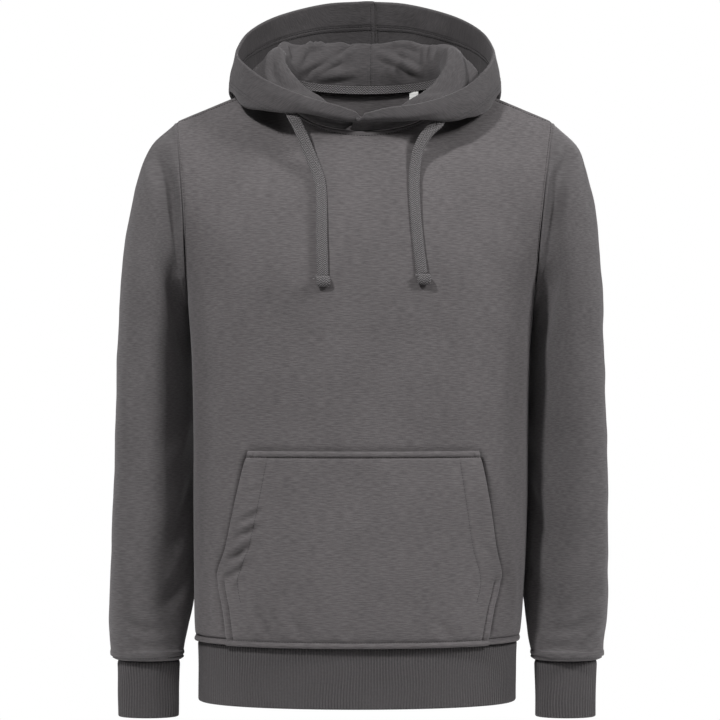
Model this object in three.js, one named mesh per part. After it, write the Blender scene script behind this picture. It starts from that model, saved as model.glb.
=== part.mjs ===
// A pullover hoodie, worn shape with no wearer: front, back, two sleeves, a two-piece hood thrown back,
// a kangaroo pocket, ribbed waistband and cuffs, a neck tape, a size tab and two flat drawcord ends.
// Units are millimetres, +Z up, the garment faces -Y. The origin is midway between the neck ends of the
// shoulder seams, where the wearer's shoulders carry the garment.
import * as THREE from "three";

// Driving sizes
const FLEECE = 2.2; // body cloth, brushed sweatshirt fleece
const RIB_CLOTH = 2.6; // folded double rib knit, without its raised ribs
const RIB_RISE = 0.8; // height of one rib over the cloth
const GAP = 0.5; // space between two pieces at a seam
const NECK_HALF = 92; // half width of the neck hole, at the shoulder seams
const NECK_DROP = 66; // how far the front neckline lies under the shoulders
const BACK_NECK_DROP = 9;
const NECK_FRONT = 74; // how far the neckline reaches forward
const NECK_BACK = 66; // and backward
const NECK_SIDE_Y = 5; // the shoulder seam's neck end lies this far behind the origin
const SHOULDER_TIP = new THREE.Vector3(216, 8, -50.6);
const UNDERARM = new THREE.Vector3(199, 0, -250);
const ARMHOLE_FRONT = 58; // how far the armhole bows forward
const ARMHOLE_BACK = 60;
const ARMHOLE_HOLLOW = 3; // how far it bows inward
const NECK_MARK = 15; // degrees round the neck hole between the points of its outline
const NECK_ANGLE = 27; // degrees round the torso at which the shoulder seam meets the neckline
const CHEST_ROUND = 0.8; // power of the cosine that shapes a ring: 1 is an ellipse, less is squarer
const CHEST_OUT = 18; // how far the side of the upper body swells beside the armhole
const LOW_HANDLE = 0.4; // reach of the chest's curve up from chest level, as a share of its length
const TOP_HANDLE = 0.32; // and down from the shoulder or neckline
const NECK_SLOPE = 0.42; // how steeply the chest arrives at the neckline: forward for each unit up
const SHOULDER_BEND = 1.1; // power that bends the shoulder seam down towards its tip
const NECK_ROUND = 0.9; // powers of the cosine that shape the neck hole, seen from above
const NECK_SCOOP = 0.7; // and from the front
const BODY_ASPECT = 1.6; // width to depth of the body's rings
const WAIST_SEAM = -645; // height of the seam between body and waistband
const HEM = -714; // height of the garment's lower edge
const ROLL_HEIGHT = 7; // seam allowance that stands up as a soft roll over each rib
const ROLL_RISE = 1.8;
const CASING = 34; // width of the turned hem round the hood's opening
const CASING_CLOTH = 3.8; // its two layers
const UNDER_STEP = 1.6; // space between the two hood ends where they cross at the throat
const CORD_WIDTH = 11.5; // flat drawcord
const CORD_THICK = 3;
const CHARCOAL = 0x57555a;
const RIB_GREY = 0x4b494d;
const TAB_WHITE = 0xf2f1ef;

// How far the whole garment leans sideways, by height
const LEAN = [
  { at: -740, x: -3.5 }, { at: -650, x: -3 }, { at: -600, x: -1.7 }, { at: -540, x: -0.2 },
  { at: -450, x: 0.8 }, { at: -250, x: 1.2 }, { at: -140, x: 3.6 }, { at: -50, x: 5 },
  { at: 20, x: 6 }, { at: 120, x: 6.5 },
];

// Rings of the lower body, by height: half width, and how far the front and back bow out
const TORSO = [
  { at: -650, half: 184, front: 117, back: 113 },
  { at: -630, half: 187, front: 122, back: 117 },
  { at: -590, half: 189, front: 124, back: 118 },
  { at: -500, half: 191.5, front: 124, back: 112 },
  { at: -400, half: 192.1, front: 123, back: 107 },
  { at: -320, half: 194, front: 124, back: 109 },
  { at: -250, half: 199, front: 124, back: 113 },
  { at: -200, half: 201, front: 123, back: 114 },
];

// Rings of the ribbed waistband
const HEM_BAND = [
  { at: HEM, half: 181.5, front: 115.5, back: 111.5 },
  { at: WAIST_SEAM, half: 182.6, front: 116.3, back: 112.3 },
];
const HEM_RIBS = 288;
const HEM_INNER = 48; // points round the plain inner side

// Rings of the sleeve, by order from the armhole: outer and inner points of the ring, and its depths
const SLEEVE = [
  { at: 0, outX: 216, outZ: -50.6, inX: 199, inZ: -250, front: 58, back: 60, y: 4, tip: 4, hollow: 3 },
  { at: 1, outX: 245.5, outZ: -80, inX: 203, inZ: -256, front: 62, back: 64, y: 4, tip: 0, hollow: 2 },
  { at: 2, outX: 260, outZ: -121, inX: 200.5, inZ: -271, front: 65, back: 66, y: 4, tip: -8, hollow: 0 },
  { at: 3, outX: 269.2, outZ: -177, inX: 195, inZ: -300, front: 65, back: 66, y: 4, tip: -22, hollow: 0 },
  { at: 4, outX: 274.6, outZ: -240, inX: 192, inZ: -342, front: 62, back: 63, y: 4, tip: -32, hollow: 0 },
  { at: 5, outX: 277, outZ: -320, inX: 190.4, inZ: -398, front: 58, back: 58, y: 3, tip: -36, hollow: 0 },
  { at: 6, outX: 279.4, outZ: -400, inX: 189.7, inZ: -458, front: 54, back: 53, y: 1, tip: -36, hollow: 0 },
  { at: 7, outX: 281.6, outZ: -480, inX: 189.2, inZ: -520, front: 50, back: 49, y: -2, tip: -34, hollow: 0 },
  { at: 8, outX: 283.4, outZ: -555, inX: 189.4, inZ: -580, front: 47, back: 45, y: -5, tip: -26, hollow: 0 },
  { at: 9, outX: 284.4, outZ: -615, inX: 194, inZ: -625, front: 43, back: 42, y: -8, tip: -12, hollow: 0 },
  { at: 10, outX: 282.4, outZ: -655, inX: 199, inZ: -657, front: 37, back: 35, y: -10, tip: 0, hollow: 0 },
];
const CUFF_TOP = -668;
const CUFF_END = -732.5;
const CUFF_RIBS = 56;
const CUFF_INNER = 28; // points round the plain inner side
const CUFF = [
  { at: CUFF_END, x: 239, y: -10, half: 34.2, deep: 25 },
  { at: CUFF_TOP, x: 239, y: -10, half: 35.6, deep: 27 },
];

// Sections of the hood by angle round the neck from the throat. Each step is how far out from the neckline
// and how far up from it the cloth passes: the stand, the roll, the return down the outside, the lowest
// fold, the swell of the outer wall, and the rim
const HOOD = [
  { at: 0, o1: 2, u1: 5, o2: 5, u2: 8.5, o3: 8, u3: 9.5,
    o4: 11, u4: 9, o5: 14, u5: 12, oRim: 14, uRim: 17 },
  { at: 15, o1: 1.5, u1: 7, o2: 6, u2: 13, o3: 12, u3: 12.5,
    o4: 17, u4: 8.5, o5: 22.5, u5: 13, oRim: 22, uRim: 23 },
  { at: 30, o1: 2, u1: 12, o2: 8, u2: 27, o3: 17, u3: 20.5,
    o4: 25, u4: 6.5, o5: 32, u5: 12, oRim: 28, uRim: 25 },
  { at: 45, o1: 1, u1: 16, o2: 8, u2: 34, o3: 19, u3: 24.5,
    o4: 30, u4: 2.5, o5: 39, u5: 10, oRim: 34, uRim: 27 },
  { at: 60, o1: 0, u1: 19, o2: 6, u2: 39, o3: 20, u3: 25.5,
    o4: 38, u4: -3.5, o5: 48, u5: 7, oRim: 43, uRim: 30 },
  { at: 75, o1: -2, u1: 19, o2: 6, u2: 40, o3: 23, u3: 22,
    o4: 46, u4: -10.5, o5: 56, u5: 1, oRim: 50, uRim: 33 },
  { at: 90, o1: -2, u1: 15, o2: 8, u2: 31, o3: 27, u3: 15,
    o4: 59, u4: -15.5, o5: 64.5, u5: -8, oRim: 56, uRim: 23 },
  { at: 105, o1: -2, u1: 18, o2: 13, u2: 38, o3: 33, u3: 15,
    o4: 64, u4: -19, o5: 70.5, u5: -5, oRim: 63, uRim: 40 },
  { at: 120, o1: -3, u1: 22, o2: 17, u2: 46, o3: 37, u3: 14,
    o4: 66, u4: -46, o5: 77, u5: -8, oRim: 66, uRim: 65.5 },
  { at: 140, o1: -4, u1: 26, o2: 13, u2: 50, o3: 33, u3: 0,
    o4: 61, u4: -92, o5: 86, u5: -30, oRim: 64, uRim: 90 },
  { at: 160, o1: -4, u1: 27, o2: 8, u2: 52, o3: 29, u3: -20,
    o4: 56, u4: -122, o5: 88, u5: -50, oRim: 50, uRim: 105 },
  { at: 180, o1: -4, u1: 27, o2: 6, u2: 52, o3: 27, u3: -25,
    o4: 50, u4: -132, o5: 86, u5: -58, oRim: 44, uRim: 109 },
];
const HOOD_END = -9; // past the middle of the throat, each half runs out to nothing along the neckline here
const HOOD_RUNOUT = 0.9; // share of its section that it has lost there
const HOOD_ANGLES = [
  HOOD_END, -4.5, 0, 7.5, 15, 22.5, 30, 37.5, 45, 52.5, 60, 67.5, 75, 82.5, 90, 97.5, 105, 112.5, 120, 135,
  150, 165, 180,
];
const WALL_LOWEST = 5.1; // no row of the casing starts under this station
const SWAY_START = 10; // degrees from the throat over which one hood end hangs lower than the other
const SWAY_LONG = 85;
const TUCK_START = 9; // the lower end lies in full under the upper one up to this angle
const TUCK_LOW = 14; // and is free of it from here at the neckline
const TUCK_HIGH = 34; // to here at the roll and above
const TUCK_ROWS = 5;
const HOOD_HIDDEN = 2; // the lower half stops short of these first angles, under the upper one
const HOOD_UNEVEN = 4.5; // the upper hood end hangs this much lower over the chest, the other higher

// Outline of the pocket by height: half width and sideways shift
const POCKET = [
  { at: -645, half: 145, shift: 0 }, { at: -605, half: 151, shift: 0 }, { at: -570, half: 157, shift: 0 },
  { at: -534, half: 146.5, shift: 1 }, { at: -487, half: 138, shift: 2 }, { at: -426, half: 128, shift: 3 },
];
const POCKET_LIFT = 1.2; // space between pocket and front at its sewn edges
const POCKET_EASE = 2.6; // more of it in the middle, where hands go
const POCKET_BAND_RISE = 1.1; // the stitched band along the top stands this far off the rest

// Routes of the drawcord ends, from under the hood's swell down over the chest, as x, y, z
const CORD_LEFT = [
  [88, -74, -57.5], [82.5, -75.5, -62.5], [77, -77, -68], [71.5, -78.5, -75.5], [67.3, -80, -84],
  [64, -82, -94], [62, -85, -105], [60.9, -89, -117.4], [60.6, -94.1, -130], [60.8, -98.6, -142.5],
  [61.4, -103.1, -155], [62.3, -107.1, -167.4], [63.4, -110.5, -180], [64.6, -113.6, -192],
  [65.8, -116, -204], [67.3, -118.3, -216], [68.9, -120.3, -228.5],
];
const CORD_RIGHT = [
  [-75, -75.5, -51], [-71.5, -76.5, -57.5], [-68, -77.5, -65], [-64, -78.5, -74], [-60, -79.5, -84],
  [-55.6, -81.5, -94.5], [-51.3, -85, -105], [-47.4, -89.5, -115], [-44.8, -94, -125], [-43.4, -99.3, -137],
  [-42.9, -104.8, -150], [-42.7, -110, -163], [-42.6, -114.4, -177], [-42.4, -118, -191], [-42, -121, -204],
  [-41.6, -123, -217], [-41.2, -124.6, -230.7],
];
// The knot at each end: a barrel lying across the cord
const KNOT = { wide: 16, tall: 11, deep: 7.4 };
const KNOT_LEFT = { x: 70.4, y: -122, z: -234.4 };
const KNOT_RIGHT = { x: -41.1, y: -126, z: -236.7 };

// Neck tape and size tab
const TAPE_HEIGHT = 8.8;
const TAPE_THICK = 1.2;
const TAPE_INSET = 4.2; // from the outside of the back neckline to the tape's outer side
const TAPE_START = 96; // degrees round the neck hole
const TAB = { wide: 13, tall: 19, thick: 0.6, angle: 139, below: 0.4 };

const rad = THREE.MathUtils.degToRad;
const point = (x, y, z) => new THREE.Vector3(x, y, z);
const UP = point(0, 0, 1);

// A column of a table at a place between its rows, on a smooth curve through them.
function read(table, key, at) {
  const last = table.length - 1;
  let i = 0;
  while (i < last - 1 && at > table[i + 1].at) i += 1;
  const slope = (k) => {
    const a = Math.max(k - 1, 0);
    const b = Math.min(k + 1, last);
    return (table[b][key] - table[a][key]) / (table[b].at - table[a].at);
  };
  const span = table[i + 1].at - table[i].at;
  const t = THREE.MathUtils.clamp((at - table[i].at) / span, 0, 1);
  const h1 = 2 * t ** 3 - 3 * t ** 2 + 1;
  const h2 = t ** 3 - 2 * t ** 2 + t;
  const h3 = 3 * t ** 2 - 2 * t ** 3;
  const h4 = t ** 3 - t ** 2;
  return h1 * table[i][key] + h2 * span * slope(i) + h3 * table[i + 1][key] + h4 * span * slope(i + 1);
}

// The lower body's surface: angle 0 is the front middle, 90 the wearer's left side seam, 180 the back.
function torso(angle, z) {
  const c = Math.cos(rad(angle));
  const deep = c >= 0 ? -read(TORSO, "front", z) : read(TORSO, "back", z);
  return point(read(TORSO, "half", z) * Math.sin(rad(angle)), deep * Math.abs(c) ** CHEST_ROUND, z);
}

// The neck hole's curve: angle 0 is the throat, 90 the shoulder seam, 180 the middle of the back.
function neckCurve(angle) {
  const c = Math.cos(rad(angle));
  const s = Math.sin(rad(angle));
  if (c >= 0) {
    const y = NECK_SIDE_Y - (NECK_FRONT + NECK_SIDE_Y) * c ** NECK_ROUND;
    return point(NECK_HALF * s, y, -NECK_DROP * c ** NECK_SCOOP);
  }
  const y = NECK_SIDE_Y + (NECK_BACK - NECK_SIDE_Y) * (-c) ** NECK_ROUND;
  return point(NECK_HALF * s, y, BACK_NECK_DROP * c);
}

// The neckline that both the body and the hood are cut to: straight from mark to mark.
function neckline(angle) {
  const before = NECK_MARK * Math.floor(angle / NECK_MARK);
  return neckCurve(before).lerp(neckCurve(before + NECK_MARK), (angle - before) / NECK_MARK);
}

// Which way the hood leaves the body at the neckline.
function neckWay(angle) {
  return point(-0.5 * Math.sin(rad(angle)), 0.5 * Math.cos(rad(angle)), 0.87).normalize();
}

// The shoulder seam, from the neck (0) to the tip (1).
function shoulderSeam(q) {
  const y = THREE.MathUtils.lerp(NECK_SIDE_Y, SHOULDER_TIP.y, q);
  return point(THREE.MathUtils.lerp(NECK_HALF, SHOULDER_TIP.x, q), y, SHOULDER_TIP.z * q ** SHOULDER_BEND);
}

// The armhole: angle 0 is the shoulder tip, 180 the underarm, side -1 the front half and 1 the back half.
function armhole(angle, side) {
  const c = Math.cos(rad(angle));
  const s = Math.sin(rad(angle));
  const middle = SHOULDER_TIP.clone().add(UNDERARM).multiplyScalar(0.5);
  const reach = SHOULDER_TIP.clone().sub(UNDERARM).multiplyScalar(0.5 * c);
  const bow = point(-ARMHOLE_HOLLOW * s * s, side * s * (side < 0 ? ARMHOLE_FRONT : ARMHOLE_BACK), 0);
  return middle.add(reach).add(bow);
}
const ARMHOLE_WAY = point(0, 1, 0).cross(SHOULDER_TIP.clone().sub(UNDERARM)).normalize();

// The upper edge of the front (side -1) or back (side 1) at an angle round the body.
function topEdge(angle, side) {
  const a = Math.abs(angle);
  const sign = Math.sign(angle) || 1;
  let p;
  if (a <= NECK_ANGLE) {
    const turn = (90 * a) / NECK_ANGLE;
    p = neckline(side < 0 ? turn : 180 - turn);
  } else {
    const s0 = Math.sin(rad(NECK_ANGLE));
    p = shoulderSeam((Math.sin(rad(a)) - s0) / (1 - s0));
  }
  p.x *= sign;
  return p;
}

// The upper body's surface from chest level (t 0) to the shoulders and neckline (t 1).
function upperBody(angle, t, side) {
  const low = (z) => torso(side < 0 ? angle : 180 - angle, z);
  const start = low(UNDERARM.z);
  const end = topEdge(angle, side);
  const long = start.distanceTo(end);
  const rise = low(UNDERARM.z + 1).sub(low(UNDERARM.z - 1)).normalize();
  const out = THREE.MathUtils.smoothstep(Math.abs(angle), 0.5 * NECK_ANGLE, 1.8 * NECK_ANGLE);
  const lean = THREE.MathUtils.lerp(NECK_SLOPE, 1, out);
  const arrive = point(0, -side * lean, 1).normalize();
  const p1 = start.clone().addScaledVector(rise, LOW_HANDLE * long);
  const p2 = end.clone().addScaledVector(arrive, -TOP_HANDLE * long);
  const p = new THREE.CubicBezierCurve3(start, p1, p2, end).getPoint(t);
  p.x += CHEST_OUT * (4 * t * (1 - t)) ** 2 * Math.sin(rad(angle)) ** 3;
  return p;
}

// The armhole's angle at a share of the way up the upper body.
const armholeAngle = (t) => 180 * (1 - Math.acos(1 - 2 * t) / Math.PI);

// The angle round the body at which a row of the upper body ends. Up to half way it is where the row is as
// far forward or back as the armhole, and from there it opens to the shoulder tip.
function rowReach(t, side) {
  if (t <= 0) return 90;
  const share = Math.max(0, 2 * t - 1) ** 2;
  const height = Math.min(t, 0.5);
  const target = armhole(armholeAngle(height), side).y;
  let low = NECK_ANGLE;
  let high = 90;
  for (let i = 0; i < 30; i += 1) {
    const mid = (low + high) / 2;
    if ((upperBody(mid, height, side).y - target) * side > 0) low = mid;
    else high = mid;
  }
  return THREE.MathUtils.lerp(low, 90, share);
}

// A point of the front or back panel: s runs from -1 to 1 across, row is a height below chest level and a
// share of the upper body above it.
function panelPoint(s, row, side) {
  if (row.z !== undefined) return torso(side < 0 ? 90 * s : 180 - 90 * s, row.z);
  const reach = rowReach(row.t, side);
  const p = upperBody(reach * s, row.t, side);
  const edge = armhole(armholeAngle(row.t), side);
  const off = edge.sub(upperBody(reach, row.t, side)).multiplyScalar(s ** 4);
  off.x *= Math.sign(s);
  return p.add(off);
}

// Sideways lean of the whole garment.
function leaned(p) {
  return point(p.x + read(LEAN, "x", p.z), p.y, p.z);
}

// A wall of cloth from a grid of outer points. Each edge in `seams` says which way its neighbour lies, and
// there the wall keeps half the gap back and its edge face stays on its own side. `closed` joins the last
// column to the first.
function clothWall(outer, thick, seams = {}, closed = false) {
  const rows = outer.length;
  const cols = outer[0].length;
  const at = (r, c) => outer[r][closed ? (c + cols) % cols : THREE.MathUtils.clamp(c, 0, cols - 1)];
  const clampRow = (r) => THREE.MathUtils.clamp(r, 0, rows - 1);
  const skin = [];
  const lining = [];
  for (let r = 0; r < rows; r += 1) {
    for (let c = 0; c < cols; c += 1) {
      const across = at(r, c + 1).clone().sub(at(r, c - 1));
      const along = at(clampRow(r + 1), c).clone().sub(at(clampRow(r - 1), c));
      const inward = across.cross(along).normalize().negate();
      const shift = point(0, 0, 0);
      const edges = [];
      if (r === 0 && seams.first) edges.push(seams.first(c));
      if (r === rows - 1 && seams.last) edges.push(seams.last(c));
      if (c === 0 && seams.left) edges.push(seams.left(r));
      if (c === cols - 1 && seams.right) edges.push(seams.right(r));
      edges.flat().forEach((way) => {
        const push = inward.dot(way);
        if (push > 0) inward.addScaledVector(way, -push).normalize();
        shift.addScaledVector(way, -GAP / 2);
      });
      const p = at(r, c).clone().add(shift);
      const depth = typeof thick === "function" ? thick(r, c) : thick;
      skin.push(p);
      lining.push(p.clone().addScaledVector(inward, depth));
    }
  }
  return wallGeometry(skin, lining, rows, cols, closed);
}

// Joins an outer and an inner grid of points into one closed body.
function wallGeometry(skin, lining, rows, cols, closed) {
  const index = [];
  const inner = skin.length;
  const quad = (a, b, c, d) => index.push(a, b, c, a, c, d);
  const last = closed ? cols : cols - 1;
  const id = (r, c) => r * cols + (c % cols);
  for (let r = 0; r < rows - 1; r += 1) {
    for (let c = 0; c < last; c += 1) {
      quad(id(r, c), id(r, c + 1), id(r + 1, c + 1), id(r + 1, c));
      quad(inner + id(r, c), inner + id(r + 1, c), inner + id(r + 1, c + 1), inner + id(r, c + 1));
    }
  }
  for (let c = 0; c < last; c += 1) {
    quad(id(0, c), inner + id(0, c), inner + id(0, c + 1), id(0, c + 1));
    quad(id(rows - 1, c), id(rows - 1, c + 1), inner + id(rows - 1, c + 1), inner + id(rows - 1, c));
  }
  for (let r = 0; r < rows - 1 && !closed; r += 1) {
    quad(id(r, 0), id(r + 1, 0), inner + id(r + 1, 0), inner + id(r, 0));
    quad(id(r, last), inner + id(r, last), inner + id(r + 1, last), id(r + 1, last));
  }
  return geometryOf([...skin, ...lining], index);
}

function geometryOf(points, index) {
  const flat = points.flatMap((p) => [p.x, p.y, p.z]);
  return new THREE.BufferGeometry()
    .setAttribute("position", new THREE.Float32BufferAttribute(flat, 3))
    .setIndex(index);
}

// The same grid on the other side of the body, its columns turned about so that its outside stays outside.
function mirrored(grid) {
  return grid.map((row) => row.map((p) => point(-p.x, p.y, p.z)).reverse());
}

const lean = (grid) => grid.map((row) => row.map(leaned));

const garment = new THREE.Group();
garment.name = "pullover_hoodie";

function piece(name, geometry, colour) {
  const material = new THREE.MeshStandardMaterial({ color: colour, roughness: 0.95, metalness: 0 });
  const mesh = new THREE.Mesh(geometry, material);
  mesh.name = name;
  garment.add(mesh);
}

// Front and back panels. Rows run up the body, with three close ones for the roll over the waistband.
const PANEL_ANGLES = [0, 4.5, 9, 13.5, 18, 22.5, 27, 36, 46, 57, 68, 79, 90];
const LOWER_ROWS = 8;
const UPPER_ROWS = 10;
const ROLL = [
  { up: 0, rise: -0.6 }, { up: 0.45, rise: 1 }, { up: 1, rise: -0.3 }, { up: 1.9, rise: 0 },
];

function panelRows() {
  const rows = ROLL.map(({ up, rise }) => ({ z: WAIST_SEAM + up * ROLL_HEIGHT, out: rise * ROLL_RISE }));
  const start = rows[rows.length - 1].z;
  for (let k = 1; k <= LOWER_ROWS; k += 1) {
    rows.push({ z: THREE.MathUtils.lerp(start, UNDERARM.z, k / LOWER_ROWS), out: 0 });
  }
  for (let k = 1; k <= UPPER_ROWS; k += 1) {
    rows.push({ t: (1 - Math.cos((Math.PI * k) / UPPER_ROWS)) / 2, out: 0 });
  }
  return rows;
}

function bodyPanel(side) {
  const rows = panelRows();
  const angles = [...PANEL_ANGLES.slice(1).reverse().map((angle) => -angle), ...PANEL_ANGLES];
  const grid = rows.map((row) => {
    const line = angles.map((angle) => {
      const p = panelPoint(angle / 90, row, side);
      const away = point(p.x / BODY_ASPECT, p.y, 0).normalize();
      return p.addScaledVector(away, row.out);
    });
    return side < 0 ? line : line.reverse();
  });
  const first = ROLL.length + LOWER_ROWS - 1;
  const edge = (way) => (r) => {
    if (r <= first) return point(0, -side, 0);
    return ARMHOLE_WAY.clone().multiply(point(way, 1, 1));
  };
  const topWay = (c) => {
    const angle = angles[side < 0 ? c : angles.length - 1 - c];
    const turn = (90 * angle) / NECK_ANGLE;
    const ways = [];
    if (Math.abs(angle) >= NECK_ANGLE) ways.push(point(0, -side, 0));
    if (Math.abs(angle) <= NECK_ANGLE) ways.push(neckWay(side < 0 ? turn : 180 - turn));
    return ways;
  };
  return clothWall(lean(grid), FLEECE, {
    first: () => point(0, 0, -1),
    last: topWay,
    left: edge(side),
    right: edge(-side),
  });
}

piece("front", bodyPanel(-1), CHARCOAL);
piece("back", bodyPanel(1), CHARCOAL);

// Sleeves: closed rings from the armhole to the roll over the cuff.
const SLEEVE_ROUND = 20;
const SLEEVE_RINGS = [0, 0.35, 0.8, 1.4, 2.1, 3, 4, 5, 6, 7, 8, 9, 9.6, 10];
// The last rings, over the cuff: how far down, how much of the way to the cuff's outline, and how puffed out
const SLEEVE_END = [
  { z: -658, share: 0.12, puff: 1.2 }, { z: -663, share: 0.5, puff: 2.2 },
  { z: CUFF_TOP, share: 1, puff: 0.8 },
];

function cuffPoint(angle, z) {
  const value = (key) => read(CUFF, key, z);
  const x = value("x") + value("half") * Math.cos(rad(angle));
  return point(x, value("y") - value("deep") * Math.sin(rad(angle)), z);
}

function sleevePoint(at, angle) {
  const value = (key) => read(SLEEVE, key, at);
  const c = Math.cos(rad(angle));
  const s = Math.sin(rad(angle));
  const between = (key) => (value(`out${key}`) * (1 + c) + value(`in${key}`) * (1 - c)) / 2;
  const x = between("X") - value("hollow") * s * s;
  const z = between("Z");
  const y = value("y") + value("tip") * c - s * (s > 0 ? value("front") : value("back"));
  return point(x, y, z);
}

function sleeve(side) {
  const angles = Array.from({ length: SLEEVE_ROUND }, (_, k) => (360 * k) / SLEEVE_ROUND);
  const grid = SLEEVE_RINGS.map((at) => angles.map((angle) => sleevePoint(at, angle)));
  const last = SLEEVE.length - 1;
  SLEEVE_END.forEach(({ z, share, puff }) => {
    grid.push(angles.map((angle) => {
      const out = point(Math.cos(rad(angle)), -Math.sin(rad(angle)), 0);
      const p = sleevePoint(last, angle).lerp(cuffPoint(angle, CUFF_TOP), share);
      return point(p.x, p.y, z).addScaledVector(out, puff);
    }));
  });
  return clothWall(lean(side > 0 ? grid : mirrored(grid)), FLEECE, {
    first: () => point(-side * ARMHOLE_WAY.x, 0, -ARMHOLE_WAY.z),
    last: () => point(0, 0, -1),
  }, true);
}

piece("sleeve_left", sleeve(1), CHARCOAL);
piece("sleeve_right", sleeve(-1), CHARCOAL);

// A point of one hood half, by angle round the neck and station from the neckline (0) to the rim (6).
const STATIONS = ["1", "2", "3", "4", "5", "Rim"];

function hoodSection(angle, lift) {
  const base = neckline(angle);
  const out = point(Math.sin(rad(angle)), -Math.cos(rad(angle)), 0);
  const along = THREE.MathUtils.clamp((angle - SWAY_START) / SWAY_LONG, 0, 1);
  const sway = lift * Math.sin(Math.PI * along);
  const points = STATIONS.map((key, i) => {
    const share = Math.min(1, (i + 1) / 4);
    const p = base.clone().addScaledVector(out, read(HOOD, `o${key}`, Math.abs(angle)));
    return p.addScaledVector(UP, read(HOOD, `u${key}`, Math.abs(angle)) + sway * share);
  });
  return new THREE.CatmullRomCurve3([base, ...points], false, "catmullrom", 0.5);
}

// Stations of the rows from the neckline up to the outer wall, closer at the roll and the lowest fold
const HOOD_ROWS = [0, 0.5, 1, 1.45, 1.75, 2, 2.25, 2.65, 3.2, 3.6, 3.85, 4.1, 4.4, 4.75];
const WALL_ROWS = HOOD_ROWS.length + 1; // rows up to the casing's stitching, less one

// side 1 is the half that crosses on top at the throat.
function hoodHalf(side) {
  const turns = side > 0 ? HOOD_ANGLES : HOOD_ANGLES.slice(HOOD_HIDDEN);
  const curves = turns.map((angle) => hoodSection(angle, -side * HOOD_UNEVEN));
  const starts = curves.map((curve) => {
    const turn = curve.getUtoTmapping(1 - CASING / Math.max(curve.getLength(), 2 * CASING));
    return Math.max(WALL_LOWEST, 6 * turn);
  });
  const last = HOOD_ROWS[HOOD_ROWS.length - 1];
  const rows = HOOD_ROWS.map((station) => starts.map(() => station));
  rows.push(starts.map((start) => (last + start) / 2), starts);
  [0.06, 0.5, 1].forEach((share) => rows.push(starts.map((start) => start + (6 - start) * share)));
  const depth = (r) => (r > WALL_ROWS ? CASING_CLOTH : FLEECE);
  const cut = turns.map((angle) => 1 - HOOD_RUNOUT * Math.max(0, angle / HOOD_END));
  let grid = rows.map((row) => row.map((station, c) => curves[c].getPoint((station / 6) * cut[c])));
  if (side < 0) grid = tuckedUnder(grid, turns);
  const angles = side > 0 ? turns : turns.slice().reverse();
  return clothWall(lean(side > 0 ? grid : mirrored(grid)), depth, {
    first: (c) => {
      const way = neckWay(angles[c]);
      return point(-side * way.x, -way.y, -way.z);
    },
    left: side > 0 ? undefined : () => point(1, 0, 0),
    right: side > 0 ? () => point(-1, 0, 0) : undefined,
  });
}

// Moves a grid's throat end in and up by the cloth that lies over it.
function tuckedUnder(grid, angles) {
  const step = CASING_CLOTH + UNDER_STEP;
  return grid.map((row, r) => row.map((p, c) => {
    const turn = rad(angles[c]);
    const way = point(-Math.sin(turn), Math.cos(turn), 1);
    const end = THREE.MathUtils.lerp(TUCK_LOW, TUCK_HIGH, Math.min(1, r / TUCK_ROWS));
    const free = THREE.MathUtils.smoothstep(angles[c], TUCK_START, end);
    return p.clone().addScaledVector(way, step * (1 - free));
  }));
}

piece("hood_left", hoodHalf(1), CHARCOAL);
piece("hood_right", hoodHalf(-1), CHARCOAL);

// Pocket, laid over the front and its roll.
function bodyRise(z) {
  const up = (z - WAIST_SEAM) / ROLL_HEIGHT;
  const i = ROLL.findIndex((row) => row.up > up);
  if (i <= 0) return 0;
  const [low, high] = [ROLL[i - 1], ROLL[i]];
  return ROLL_RISE * THREE.MathUtils.mapLinear(up, low.up, high.up, low.rise, high.rise);
}

function overFront(x, z, off) {
  const angle = THREE.MathUtils.radToDeg(Math.asin(x / read(TORSO, "half", z)));
  const p = torso(angle, z);
  const ahead = torso(angle + 1, z).sub(torso(angle - 1, z));
  const above = torso(angle, z + 2).sub(torso(angle, z - 2));
  return p.addScaledVector(ahead.cross(above).normalize(), off);
}

const POCKET_ROWS = [
  WAIST_SEAM, -641.8, -638, -631.7, -618, -600, -580, -555, -525, -495, -462, -436, -433.4, -432.6, -426,
];
const POCKET_BAND_FOOT = -433; // height of the stitches under the band along the top
const POCKET_COLUMNS = 18;

function pocket() {
  const grid = POCKET_ROWS.map((z) => {
    const half = read(POCKET, "half", z);
    const shift = read(POCKET, "shift", z);
    const up = (z - WAIST_SEAM) / (POCKET_ROWS[POCKET_ROWS.length - 1] - WAIST_SEAM);
    const belly = Math.sin(Math.PI * up);
    return Array.from({ length: POCKET_COLUMNS + 1 }, (_, k) => {
      const s = -1 + (2 * k) / POCKET_COLUMNS;
      const ease = POCKET_EASE * (1 - s ** 4) * belly;
      const band = z > POCKET_BAND_FOOT ? POCKET_BAND_RISE : 0;
      return overFront(shift + half * s, z, FLEECE + POCKET_LIFT + bodyRise(z) + ease + band);
    });
  });
  return clothWall(lean(grid), FLEECE, { first: () => point(0, 0, -1) });
}

piece("pocket", pocket(), CHARCOAL);

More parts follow.
